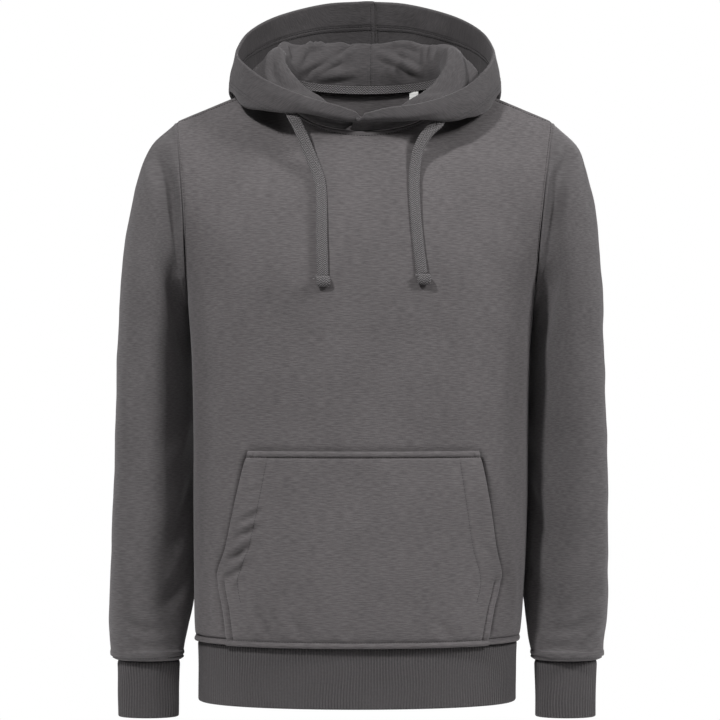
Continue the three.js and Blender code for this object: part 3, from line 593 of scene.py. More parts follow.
@dataclass(frozen=True)
class Crease:
    """A soft trough in the cloth, or with a depth under 0 a ridge, along a smooth line of places."""

    places: tuple[tuple[float, float], ...]
    width: float
    depth: float
    lip: float = 0.35  # how much of the depth stands up beside it

    def line(self, points: Grid) -> Grid:
        """The crease's line through its places' points, about every 4 mm."""
        long = np.linalg.norm(np.diff(points, axis=0), axis=1).sum()
        count = max(6, int(long / 4))
        return curve_points(points, np.linspace(0, len(points) - 1, count))

    def push(self, cloth: Grid, points: Grid) -> Grid:
        """How far the crease moves each point of the cloth outward.

        Args:
            cloth: the cloth's points.
            points: the crease's places as points on the cloth.

        Returns:
            One distance for each point, in mm.
        """
        line = self.line(points)
        flat = cloth.reshape(-1, 3)
        reach = 4 * self.width
        near = np.all((flat > line.min(0) - reach) & (flat < line.max(0) + reach), axis=1)
        moved = np.zeros(len(flat))
        here = flat[near]
        best = np.full(len(here), 1e9)
        along = np.zeros(len(here))
        for k in range(len(line) - 1):
            a, b = line[k], line[k + 1]
            ab = b - a
            t = np.clip(((here - a) @ ab) / max(ab @ ab, 1e-9), 0, 1)
            off = np.linalg.norm(here - a - t[:, None] * ab, axis=1)
            closer = off < best
            best = np.where(closer, off, best)
            along = np.where(closer, (k + t) / (len(line) - 1), along)
        s = best / self.width
        shape = -np.exp(-(s**2)) + self.lip * np.exp(-((s - 1.7) ** 2))
        fade = np.sin(math.pi * np.clip(along, 0, 1)) ** 0.7
        moved[near] = self.depth * shape * fade
        return moved.reshape(cloth.shape[:-1])


@dataclass(frozen=True)
class SeamForm:
    """The form of a sewn edge: turned in at the seam, puffed over its allowance, pulled in at its stitches."""

    allowance: float = 6.0
    turn: float = 1.5
    puff: float = 0.9
    groove: float = 0.7

    def push(self, off: Grid) -> Grid:
        """How far cloth at a distance from the seam stands out, in mm."""
        share = np.clip(off / self.allowance, 0, 1)
        out = -self.turn * np.exp(-((off / 1.1) ** 2))
        out += self.puff * np.sin(math.pi * share) ** 0.8
        return out - self.groove * np.exp(-(((off - self.allowance) / 1.0) ** 2))


EDGE_MARKS = (0, 0.6, 1.2, 2.0, 3.0, 4.0, 5.0, 5.6, 6.1, 6.6, 7.4, 8.8, 11.0, 14.0)


class Cloth:
    """A sheet of cloth as a grid of points on its outer side, in mm."""

    def __init__(self, points: Grid, closed: bool = False, level: bool = False) -> None:
        """Takes the grid.

        Args:
            points: rows x columns x 3, its columns running so that across x along points outward.
            closed: whether the last column joins the first.
            level: whether the knit's rows lie level on the garment, however the grid's rows run.
        """
        self.points = points
        self.closed = closed
        self.level = level

    def normals(self) -> Grid:
        """The outward direction at each point."""
        p = self.points
        if self.closed:
            across = np.roll(p, -1, axis=1) - np.roll(p, 1, axis=1)
        else:
            across = np.concatenate([p[:, 1:], p[:, -1:]], 1) - np.concatenate([p[:, :1], p[:, :-1]], 1)
        along = np.concatenate([p[1:], p[-1:]], 0) - np.concatenate([p[:1], p[:-1]], 0)
        return unit(np.cross(across, along))

    def raise_by(self, out: Grid) -> None:
        """Moves every point outward by its own distance."""
        self.points = self.points + self.normals() * out[..., None]

    def off(self, edge: Edge) -> Grid:
        """Each point's distance from an edge, measured along the cloth."""
        rows = edge in (Edge.FIRST, Edge.LAST)
        p = self.points if rows else np.swapaxes(self.points, 0, 1)
        if edge in (Edge.LAST, Edge.RIGHT):
            p = p[::-1]
        step = np.linalg.norm(np.diff(p, axis=0), axis=-1)
        far = np.concatenate([np.zeros((1, p.shape[1])), np.cumsum(step, 0)])
        if edge in (Edge.LAST, Edge.RIGHT):
            far = far[::-1]
        return far if rows else far.T

    def measure(self) -> Grid:
        """Each point's place on the flat cloth in metres, with one column more where the cloth is closed."""
        p = self.points
        if self.closed:
            p = np.concatenate([p, p[:, :1]], 1)
        u = np.concatenate([np.zeros((len(p), 1)), np.cumsum(np.linalg.norm(np.diff(p, axis=1), axis=-1), 1)], 1)
        u -= u[:, u.shape[1] // 2][:, None]
        v = np.concatenate([np.zeros((1, p.shape[1])), np.cumsum(np.linalg.norm(np.diff(p, axis=0), axis=-1), 0)])
        if self.level:
            v = -p[..., 2]
        return np.stack([u, v], -1) * MM


def quads(index: Grid) -> Grid:
    """The faces of a grid of vertex numbers."""
    return np.stack([index[:-1, :-1], index[:-1, 1:], index[1:, 1:], index[1:, :-1]], -1).reshape(-1, 4)


def mesh_object(name: str, points: Grid, faces: Grid, places: Grid, finish: ClothFinish) -> bpy.types.Object:
    """A smooth mesh with its place on the flat cloth at every corner.

    Args:
        name: the piece.
        points: vertices in mm.
        faces: four vertex numbers for each face.
        places: for each face, its four corners' places in metres.
        finish: what it is made of.

    Returns:
        The object, linked to the scene.
    """
    mesh = bpy.data.meshes.new(name)
    mesh.from_pydata((points * MM).tolist(), [], faces.tolist())
    mesh.uv_layers.new(name="cloth").data.foreach_set("uv", places.reshape(-1).astype(np.float32))
    mesh.polygons.foreach_set("use_smooth", np.ones(len(mesh.polygons), bool))
    mesh.materials.append(WARDROBE.take(finish))
    mesh.update()
    thing = bpy.data.objects.new(name, mesh)
    bpy.context.scene.collection.objects.link(thing)
    return thing


def shell(name: str, cloth: Cloth, thick: Number, finish: ClothFinish, round_edge: float = 0.3) -> bpy.types.Object:
    """A closed wall of cloth from its outer sheet.

    Args:
        name: the piece.
        cloth: the outer sheet.
        thick: the cloth's thickness, or one for each point.
        finish: what it is made of.
        round_edge: how far, in thicknesses, an open edge bulges past its two sides.

    Returns:
        The object.
    """
    outer = cloth.points
    rows, cols = outer.shape[:2]
    inner = outer - cloth.normals() * np.broadcast_to(np.asarray(thick, float), (rows, cols))[..., None]
    place = cloth.measure()
    index = np.arange(rows * cols).reshape(rows, cols)
    if cloth.closed:
        index = np.concatenate([index, index[:, :1]], 1)
    uv = place.reshape(rows, -1, 2)
    corner = np.arange(uv.shape[0] * uv.shape[1]).reshape(uv.shape[:2])
    flat_uv = uv.reshape(-1, 2)
    count = rows * cols
    faces = [quads(index), quads(index)[:, ::-1] + count]
    places = [flat_uv[quads(corner)], flat_uv[quads(corner)[:, ::-1]]]
    points = [outer.reshape(-1, 3), inner.reshape(-1, 3)]

    if cloth.closed:
        loops = [(index[0], corner[0], index[1]), (index[-1][::-1], corner[-1][::-1], index[-2][::-1])]
    else:
        ring = [index[0], index[1:, -1], index[-1, -2::-1], index[-2::-1, 0]]
        spots = [corner[0], corner[1:, -1], corner[-1, -2::-1], corner[-2::-1, 0]]
        inside = np.pad(index[1:-1, 1:-1], 1, mode="edge")
        back = [inside[0], inside[1:, -1], inside[-1, -2::-1], inside[-2::-1, 0]]
        loops = [(np.concatenate(ring), np.concatenate(spots), np.concatenate(back))]
    both = np.concatenate(points)
    base = len(both)
    extra = []
    for loop, spot, back in loops:
        single = loop[:-1]
        away = unit(both[single] - both[back[:-1]])
        deep = np.linalg.norm(both[single] - both[single + count], axis=1)[:, None]
        middle = (both[single] + both[single + count]) / 2 + away * deep * round_edge
        mid = base + np.arange(len(single))
        mid = np.append(mid, mid[0])
        base += len(single)
        extra.append(middle)
        near, far = loop, loop + count
        for a, b in ((near, mid), (mid, far)):
            faces.append(np.stack([a[:-1], b[:-1], b[1:], a[1:]], -1))
            places.append(flat_uv[np.stack([spot[:-1], spot[:-1], spot[1:], spot[1:]], -1)])
    return mesh_object(name, np.concatenate([both, *extra]), np.concatenate(faces), np.concatenate(places), finish)


def put(piece: bpy.types.Object, slot: str, *nodes: str) -> bpy.types.Object:
    """Lets a piece ride on the garment's one body, in place of its CAD nodes."""
    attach(piece, "root")
    if nodes:
        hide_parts(*nodes)
    log.info("%s: %d faces", piece.name, len(piece.data.polygons))
    return piece


# ---------------------------------------------------------------- stitches


@dataclass(frozen=True)
class StitchRow:
    """A row of lockstitches along a line on the cloth."""

    stitch: float = 2.7  # length of one stitch
    step: float = 3.3  # from stitch to stitch
    thread: float = 0.6  # drawn a little thicker than the real 0.4, to show
    sink: float = 0.1

    def build(self, lines: Sequence[tuple[Grid, Grid]]) -> tuple[Grid, Grid]:
        """Small rounded bars, one for each stitch.

        Args:
            lines: for each row, its points and the outward directions there.

        Returns:
            Vertices in mm and faces.
        """
        ring = np.array([(math.cos(a), math.sin(a)) for a in np.linspace(0, 2 * math.pi, 6, endpoint=False)])
        stations = ((-0.5, 0.35, -0.5), (-0.36, 0.9, 0.05), (0.0, 1.0, 0.3), (0.36, 0.9, 0.05), (0.5, 0.35, -0.5))
        points, faces, base = [], [], 0
        shape = np.arange(len(stations) * 6).reshape(len(stations), 6)
        wrapped = np.concatenate([shape, shape[:, :1]], 1)
        tube = quads(wrapped)
        for line, outward in lines:
            walked = np.concatenate([[0], np.cumsum(np.linalg.norm(np.diff(line, axis=0), axis=1))])
            count = int(walked[-1] / self.step)
            for k in range(count):
                middle = (k + 0.5) * self.step
                ends = np.array([middle - self.stitch / 2, middle, middle + self.stitch / 2])
                place = np.stack([np.interp(ends, walked, line[:, i]) for i in range(3)], -1)
                up = unit(np.array([np.interp(middle, walked, outward[:, i]) for i in range(3)]))
                way = unit(place[2] - place[0])
                side = unit(np.cross(way, up))
                long = np.linalg.norm(place[2] - place[0])
                for share, wide, rise in stations:
                    spot = place[1] + way * share * long + up * (rise * self.thread * 0.5 - self.sink)
                    points.append(spot + (ring[:, :1] * side + ring[:, 1:] * up) * wide * self.thread / 2)
                faces.append(tube[:, ::-1] + base)
                base += 6 * len(stations)
        return np.concatenate(points), np.concatenate(faces)


def sew(name: str, lines: Sequence[tuple[Grid, Grid]], row: StitchRow = StitchRow()) -> bpy.types.Object:
    """Puts rows of stitches on the garment as one piece."""
    points, faces = row.build(lines)
    places = np.tile(np.array([[0, 0], [0.0006, 0], [0.0006, 0.0007], [0, 0.0007]]), (len(faces), 1, 1))
    return put(mesh_object(name, points, faces, places, THREAD), "fleece")


def row_line(cloth: Cloth, off: Grid, want: float, by_row: bool) -> tuple[Grid, Grid]:
    """The line on a sheet that lies at one distance from an edge.

    Args:
        cloth: the sheet.
        off: each point's distance from the edge.
        want: the distance.
        by_row: whether the line crosses the columns, else it crosses the rows.

    Returns:
        Its points and the outward directions there.
    """
    p, n = cloth.points, cloth.normals()
    if not by_row:
        p, n, off = np.swapaxes(p, 0, 1), np.swapaxes(n, 0, 1), off.T
    if off[0, 0] > off[-1, 0]:
        p, n, off = p[::-1], n[::-1], off[::-1]
    k = np.clip((off < want).sum(0), 1, len(off) - 1)
    col = np.arange(off.shape[1])
    t = ((want - off[k - 1, col]) / np.maximum(off[k, col] - off[k - 1, col], 1e-9))[:, None]
    return blend(p[k - 1, col], p[k, col], t), unit(blend(n[k - 1, col], n[k, col], t))


# ---------------------------------------------------------------- the tailor's block


@dataclass(frozen=True)
class Block:
    """The form that body, sleeves and hood are cut to."""

    neck_half: float = 92.0
    neck_drop: float = 66.0
    back_neck_drop: float = 9.0
    neck_front: float = 74.0
    neck_back: float = 66.0
    neck_side_y: float = 5.0
    shoulder_tip: tuple[float, float, float] = (216.0, 8.0, -50.6)
    underarm: tuple[float, float, float] = (199.0, 0.0, CHEST)
    armhole_front: float = 58.0
    armhole_back: float = 60.0
    armhole_hollow: float = 3.0
    roundness: float = 0.8  # power of the cosine that shapes a ring
    chest_out: float = 18.0
    shoulder_bend: float = 1.1
    mark: float = 15.0  # degrees between the points that the neck hole's curve passes

    def torso(self, angle: Number, z: Number) -> Grid:
        """The lower body: angle 0 is the front middle, 90 the wearer's left side, 180 the back."""
        turn = np.radians(angle)
        c = np.cos(turn)
        deep = np.where(c >= 0, -TORSO.read("front", z), TORSO.read("back", z))
        return stack(TORSO.read("half", z) * np.sin(turn), deep * np.abs(c) ** self.roundness, z)

    def neck_mark(self, angle: Grid) -> Grid:
        """A point that the neck hole's curve passes."""
        turn = np.radians(angle)
        c, s = np.cos(turn), np.sin(turn)
        ahead, behind = np.maximum(c, 0), np.maximum(-c, 0)
        y = self.neck_side_y - (self.neck_front + self.neck_side_y) * ahead**0.9
        y = y + (self.neck_back - self.neck_side_y) * behind**0.9
        return stack(self.neck_half * s, y, -self.neck_drop * ahead**0.7 - self.back_neck_drop * behind)

    def neckline(self, angle: Number) -> Grid:
        """The neck hole: angle 0 is the throat, 90 the shoulder seam, 180 the middle of the back."""
        marks = self.neck_mark(np.arange(-2 * self.mark, 180 + 3 * self.mark, self.mark))
        return curve_points(marks, np.asarray(angle, float) / self.mark + 2)

    def shoulder(self, q: Number) -> Grid:
        """The shoulder seam, from the neck (0) to the tip (1)."""
        tip = self.shoulder_tip
        q = np.clip(q, 0, 1)
        return stack(blend(self.neck_half, tip[0], q), blend(self.neck_side_y, tip[1], q), tip[2] * q**self.shoulder_bend)

    def armhole(self, angle: Number, face: Face) -> Grid:
        """The armhole: angle 0 is the shoulder tip, 180 the underarm."""
        turn = np.radians(np.asarray(angle, float))[..., None]
        tip, low = np.array(self.shoulder_tip), np.array(self.underarm)
        s = np.sin(turn)
        deep = self.armhole_front if face is Face.FRONT else self.armhole_back
        bow = np.concatenate([-self.armhole_hollow * s * s, face.value * s * deep, 0 * s], -1)
        return (tip + low) / 2 + (tip - low) / 2 * np.cos(turn) + bow

    def top_edge(self, angle: Grid, face: Face) -> Grid:
        """The upper edge of a panel at an angle round the body."""
        a = np.abs(angle)
        turn = 90 * np.minimum(a, NECK_ANGLE) / NECK_ANGLE
        neck = self.neckline(turn if face is Face.FRONT else 180 - turn)
        s0 = math.sin(math.radians(NECK_ANGLE))
        seam = self.shoulder((np.sin(np.radians(a)) - s0) / (1 - s0))
        edge = np.where((a <= NECK_ANGLE)[..., None], neck, seam)
        edge[..., 0] *= np.where(angle < 0, -1, 1)
        return edge

    def upper(self, angle: Grid, t: Grid, face: Face) -> Grid:
        """The upper body from chest level (t 0) to the shoulders and neckline (t 1)."""
        turn = angle if face is Face.FRONT else 180 - angle
        start = self.torso(turn, CHEST)
        end = self.top_edge(angle, face)
        long = np.linalg.norm(end - start, axis=-1, keepdims=True)
        rise = unit(self.torso(turn, CHEST + 1) - self.torso(turn, CHEST - 1))
        lean = blend(0.42, 1.0, smooth(np.abs(angle), 0.5 * NECK_ANGLE, 1.8 * NECK_ANGLE))
        arrive = unit(stack(0, -face.value * lean, 1))
        p1 = start + rise * 0.4 * long
        p2 = end - arrive * 0.32 * long
        k = t[..., None]
        p = (1 - k) ** 3 * start + 3 * (1 - k) ** 2 * k * p1 + 3 * (1 - k) * k**2 * p2 + k**3 * end
        p[..., 0] += self.chest_out * 16 * t**2 * (1 - t) ** 2 * np.sin(np.radians(angle)) ** 3
        return p

    def armhole_angle(self, t: Grid) -> Grid:
        """The armhole's angle at a share of the way up the upper body."""
        return 180 * (1 - np.arccos(1 - 2 * np.clip(t, 0, 1)) / math.pi)

    def reach(self, t: Grid, face: Face) -> Grid:
        """The angle round the body at which each row of the upper body ends."""
        height = np.minimum(t, 0.5)
        target = self.armhole(self.armhole_angle(height), face)[..., 1]
        low, high = np.full(t.shape, NECK_ANGLE), np.full(t.shape, 90.0)
        for _ in range(30):
            mid = (low + high) / 2
            more = (self.upper(mid, height, face)[..., 1] - target) * face.value > 0
            low, high = np.where(more, mid, low), np.where(more, high, mid)
        found = blend(low, 90.0, np.maximum(0, 2 * t - 1) ** 2)
        return np.where(t <= 0, 90.0, found)

    def chest(self, s: Grid, t: Grid, face: Face) -> Grid:
        """A grid of the upper body: s from -1 to 1 across, t a share of the way up."""
        reach = self.reach(t, face)
        across, up = np.meshgrid(s, t)
        p = self.upper(reach[:, None] * across, up, face)
        inside = (1 - smooth(np.abs(across), 0.72, 0.9)) * (1 - smooth(up, 0.8, 0.97)) * smooth(up, 0.04, 0.4)
        inside = inside[..., None]
        for _ in range(60):
            between = p.copy()
            between[:, 1:-1] = (p[:, :-2] + 2 * p[:, 1:-1] + p[:, 2:]) / 4
            p = blend(p, between, inside)
        edge = self.armhole(self.armhole_angle(t), face)
        gap = (edge - self.upper(reach, t, face))[:, None, :] * (across**4)[..., None]
        gap[..., 0] *= np.sign(across)
        return p + gap


BLOCK = Block()


# ---------------------------------------------------------------- creases, each drawn one by one

FRONT_CREASES = (
    Crease(((-186, -268), (-176, -330), (-172, -400), (-175, -470)), 15, 2.6),
    Crease(((188, -262), (179, -330), (175, -390), (178, -450)), 14, 2.2),
    Crease(((-168, -560), (-172, -600), (-169, -634)), 8, 1.8),
    Crease(((170, -540), (174, -585), (171, -634)), 9, -2.2),
    Crease(((-96, -150), (-118, -196), (-150, -236)), 17, 1.3),
    Crease(((108, -150), (128, -200), (158, -238)), 17, 1.3),
)
BACK_CREASES = (
    Crease(((-186, -266), (-168, -330), (-160, -410), (-168, -480)), 16, 3.2),
    Crease(((188, -262), (170, -326), (164, -400), (172, -470)), 16, 3.2),
    Crease(((-110, -470), (-30, -492), (60, -486), (130, -466)), 15, 2.6),
    Crease(((-120, -540), (-20, -560), (80, -556), (140, -532)), 14, 2.4),
    Crease(((-70, -60), (-96, -110), (-130, -150)), 14, 2.0),
    Crease(((80, -60), (104, -110), (136, -150)), 14, 2.0),
    Crease(((-150, -600), (-146, -636)), 7, 1.6),
    Crease(((96, -604), (92, -636)), 7, 1.4),
)
POCKET_CREASES = (
    Crease(((-130, -478), (-121, -472), (-111, -465)), 3.6, 1.8),
    Crease(((-133, -506), (-122, -500), (-108, -491)), 3.8, 3.4),
    Crease(((-137, -523), (-126, -518), (-112, -509)), 3.8, 3.6),
    Crease(((-145, -549), (-132, -541), (-118, -529)), 4.2, 4.2),
    Crease(((-150, -569), (-139, -564), (-126, -554)), 3.8, 3.2),
    Crease(((128, -530), (138, -536), (146, -548)), 5.0, 1.0),
    Crease(((-112, -600), (-100, -618), (-92, -636)), 8, 3.0),
    Crease(((-70, -612), (-62, -626), (-58, -637)), 7, 2.2),
    Crease(((-12, -618), (-6, -637)), 7, 1.6),
    Crease(((88, -610), (96, -624), (100, -637)), 7, 2.2),
)
SLEEVE_FRONT = (
    Crease(((0.9, 26), (0.68, 50), (0.54, 72), (0.48, 94), (0.5, 114), (0.8, 138)), 11, 13.0, 0.25),
    Crease(((1.0, 62), (1.7, 92), (2.7, 118), (4.0, 142)), 14, 5.0, 0.2),
    Crease(((4.6, 160), (5.4, 134), (6.2, 112)), 17, -3.2, 0.2),
    Crease(((5.9, 168), (6.6, 140), (7.5, 116)), 13, 3.6, 0.3),
    Crease(((7.4, 156), (8.2, 128), (8.8, 100)), 11, 2.4),
    Crease(((3.4, 30), (4.6, 52), (5.6, 84)), 15, 1.5),
    Crease(((8.9, 40), (9.25, 80), (9.2, 128)), 7, 2.4),
    Crease(((9.6, 66), (9.8, 104), (9.65, 150)), 5, 1.8),
    Crease(((9.35, 10), (9.6, 40), (9.55, 62)), 5.5, 1.5),
)
SLEEVE_BACK = (
    Crease(((0.7, 282), (1.7, 258), (2.9, 234), (4.2, 212)), 13, 4.2, 0.25),
    Crease(((4.8, 318), (5.2, 284), (5.5, 250), (5.4, 218)), 12, 4.4, 0.4),
    Crease(((5.6, 322), (6.1, 290), (6.3, 252), (6.1, 214)), 11, 3.8, 0.4),
    Crease(((6.6, 306), (7.1, 268), (7.2, 226)), 12, 2.8),
    Crease(((9.0, 324), (9.3, 282), (9.2, 232)), 7, 2.4),
    Crease(((9.6, 300), (9.75, 256), (9.65, 210)), 5, 1.8),
)
HOOD_OVER = (
    Crease(((128, 0.5), (148, 0.95), (171, 1.3)), 4.2, 4.2),
    Crease(((132, 1.35), (150, 1.6), (168, 1.75)), 3.8, 3.4),
    Crease(((122, 1.0), (128, 1.5), (136, 2.1)), 3.0, 3.0),
    Crease(((128, 0.9), (134, 1.5), (143, 2.15)), 3.0, 2.6),
    Crease(((140, 0.3), (150, 0.7), (156, 1.3)), 6, -3.2),
    Crease(((64, 3.3), (78, 2.9), (94, 2.3)), 4.5, 3.4),
    Crease(((72, 3.7), (86, 3.3), (99, 2.7)), 4.5, 2.6),
    Crease(((30, 2.6), (46, 3.1), (62, 3.3)), 6, 2.6),
    Crease(((24, 4.6), (44, 4.9), (66, 5.0)), 6, 1.8),
    Crease(((40, 4.3), (70, 4.3), (100, 4.2)), 8, -2.4),
    Crease(((96, 5.1), (112, 4.7), (128, 4.4)), 9, 3.4),
)
HOOD_UNDER = (
    Crease(((130, 0.5), (152, 0.95), (173, 1.4)), 3.4, 3.6),
    Crease(((122, 0.35), (140, 0.75), (160, 1.05)), 4.2, -3.4),
    Crease(((139, 1.1), (140, 1.6), (141, 2.15)), 2.8, 2.8),
    Crease(((144, 1.2), (145, 1.7), (145, 2.2)), 2.6, 2.4),
    Crease(((150, 1.05), (149, 1.6), (150, 2.05)), 2.8, 2.2),
    Crease(((116, 0.9), (134, 1.4), (152, 1.75)), 4.5, 4.0),
    Crease(((140, 0.35), (156, 0.55), (173, 0.7)), 5, 3.0),
    Crease(((158, 1.0), (166, 1.4), (172, 1.8)), 5, -3.4),
    Crease(((104, 1.3), (116, 1.75), (130, 2.0)), 4.5, 3.2),
    Crease(((56, 3.4), (74, 3.0), (96, 2.4)), 5, 3.2),
    Crease(((26, 2.6), (44, 3.2), (64, 3.5)), 6, 2.6),
    Crease(((22, 4.6), (40, 4.9), (60, 5.1)), 6, 1.8),
    Crease(((38, 4.3), (70, 4.3), (102, 4.2)), 8, -2.4),
    Crease(((94, 5.0), (110, 4.6), (130, 4.4)), 9, 3.4),
)


# ---------------------------------------------------------------- body panels


@dataclass
class BodyPanel:
    """The front or back panel, cut in one from the waistband's seam to the shoulders."""

    face: Face
    step: float = 4.0  # mm between columns
    rows_step: float = 3.8
    upper_rows: int = 64
    roll: float = 6.5  # height of the soft roll of seam allowance over the waistband
    pocket_span: tuple[float, float, float] = (0.43, 0.66, 0.006)  # shares across where the pocket ends, and their step
    seam: SeamForm = field(default_factory=SeamForm)
    side_seam: SeamForm = field(default_factory=lambda: SeamForm(allowance=3.0, turn=1.3, puff=0.3, groove=0.6))
    creases: tuple[Crease, ...] = ()

    def columns(self) -> Grid:
        """Shares from -1 to 1 across, close together beside the side seams."""
        fine = np.linspace(0, 90, 400)
        ring = BLOCK.torso(fine, -400.0)
        walked = np.concatenate([[0], np.cumsum(np.linalg.norm(np.diff(ring, axis=0), axis=1))])
        far = spaced(EDGE_MARKS, 0.0, walked[-1], self.step)
        share = np.interp(walked[-1] - far, walked, fine) / 90
        if self.face is Face.FRONT:
            low, high, close = self.pocket_span
            even = np.linspace(low, high, int((high - low) / close))
            share = np.sort(np.concatenate([share[(share < low) | (share > high)], even]))[::-1]
        return np.concatenate([-share, share[::-1][1:]])

    def place(self, x: float, z: float) -> Grid:
        """The point of the panel that lies at x and z seen from the front."""
        flat = self.flat
        off = np.hypot(flat[..., 0] - x, flat[..., 2] - z)
        return flat[np.unravel_index(np.argmin(off), off.shape)]

    def build(self) -> list[bpy.types.Object]:
        """Builds the panel and its stitches."""
        s = self.columns()
        marks = (0, 0.7, 1.4, 2.2, 3.0, 3.8, 4.6, 5.4, 6.1, 6.8, 7.6, 9.0, 11.0, 14.0)
        heights = spaced(marks, WAIST_SEAM, CHEST, self.rows_step)
        low = np.stack([BLOCK.torso(90 * s if self.face is Face.FRONT else 180 - 90 * s, z) for z in heights])
        t = (1 - np.cos(math.pi * np.arange(1, self.upper_rows + 1) / self.upper_rows)) / 2
        grid = np.concatenate([low, BLOCK.chest(s, t, self.face)])
        if self.face is Face.BACK:
            grid = grid[:, ::-1]
        self.flat = leaned(grid)
        cloth = Cloth(self.flat.copy(), level=True)
        bottom = cloth.off(Edge.FIRST)
        top = cloth.off(Edge.LAST)
        sides = np.minimum(cloth.off(Edge.LEFT), cloth.off(Edge.RIGHT))
        self.offs = (bottom, top, sides)
        out = ripple(self.flat, 90, 11) * 0.7 + ripple(self.flat, 34, 12) * 0.22
        inland = smooth(np.minimum(np.minimum(sides, top), bottom), 6, 40)
        out = out * inland
        for crease in self.creases:
            spots = np.array([self.place(x, z) for x, z in crease.places])
            out = out + crease.push(self.flat, spots) * smooth(np.minimum(sides, top), 1, 12)
        out = out + np.where(sides < top, self.side_seam.push(sides), self.seam.push(top))
        out = out + UNDERARM_FILL * np.exp(-((sides / 1.1) ** 2)) * near_underarm(self.flat)
        if self.face is Face.FRONT:
            out = out - self.pocket_bed()
        uneven = 1 + 0.22 * ripple(self.flat, 55, 13)
        out = out + self.waist_roll(bottom) * uneven * blend(0.2, 1.0, smooth(sides, 3, 40))
        cloth.raise_by(out)
        name = "front" if self.face is Face.FRONT else "back"
        panel = put(shell(f"{name}_panel", cloth, FLEECE, FLEECE_FINISH, 0.1), "fleece", name)
        self.cloth = cloth
        return [panel, self.stitches(name)]

    def pocket_bed(self) -> Grid:
        """How far the panel has sunk under the pocket and just beside its sides."""
        z = self.flat[..., 2]
        x = self.flat[..., 0] - LEAN.read("x", z) - POCKET.read("shift", z)
        side = POCKET.read("half", z) - np.abs(x)
        top = POCKET_TOP - z
        open_side = smooth(z, -584, -566) * (1 - smooth(z, -440, -430))
        bed = 1.3 * smooth(side, -1, 5) * smooth(top, -1, 4)
        middle, reach = blend(-2.0, -3.4, open_side), blend(1.9, 2.7, open_side)
        ditch = blend(3.6, 6.2, open_side) * np.exp(-(((side - middle) / reach) ** 2))
        over = 1.4 * np.exp(-(((top + 1.2) / 2.2) ** 2)) * smooth(side, 0, 6)
        return bed + ditch * smooth(top, 0, 4) * smooth(z, WAIST_SEAM + 8, WAIST_SEAM + 20) + over

    def waist_roll(self, off: Grid) -> Grid:
        """How far the roll over the waistband stands out, by distance from the seam."""
        share = np.clip(off / self.roll, 0, 1)
        out = 3.0 * np.sin(math.pi * share) ** 0.7 - 2.2 * np.exp(-((off / 0.9) ** 2))
        return out - 2.1 * np.exp(-(((off - self.roll - 0.4) / 1.3) ** 2))

    def stitches(self, name: str) -> bpy.types.Object:
        """The topstitching beside armholes, neckline and waistband."""
        bottom, top, _ = self.offs
        cloth = self.cloth
        chest_row = len(cloth.points) - self.upper_rows
        lines = [row_line(cloth, bottom, self.roll + 0.5, True)]
        for edge in (Edge.LEFT, Edge.RIGHT):
            p, n = row_line(cloth, cloth.off(edge), self.side_seam.allowance, False)
            lines.append((p[chest_row:-2], n[chest_row:-2]))
        sew(f"stitches_{name}_neck", [row_line(cloth, top, self.seam.allowance, True)], StitchRow(thread=0.95))
        return sew(f"stitches_{name}", lines)


# ---------------------------------------------------------------- sleeves


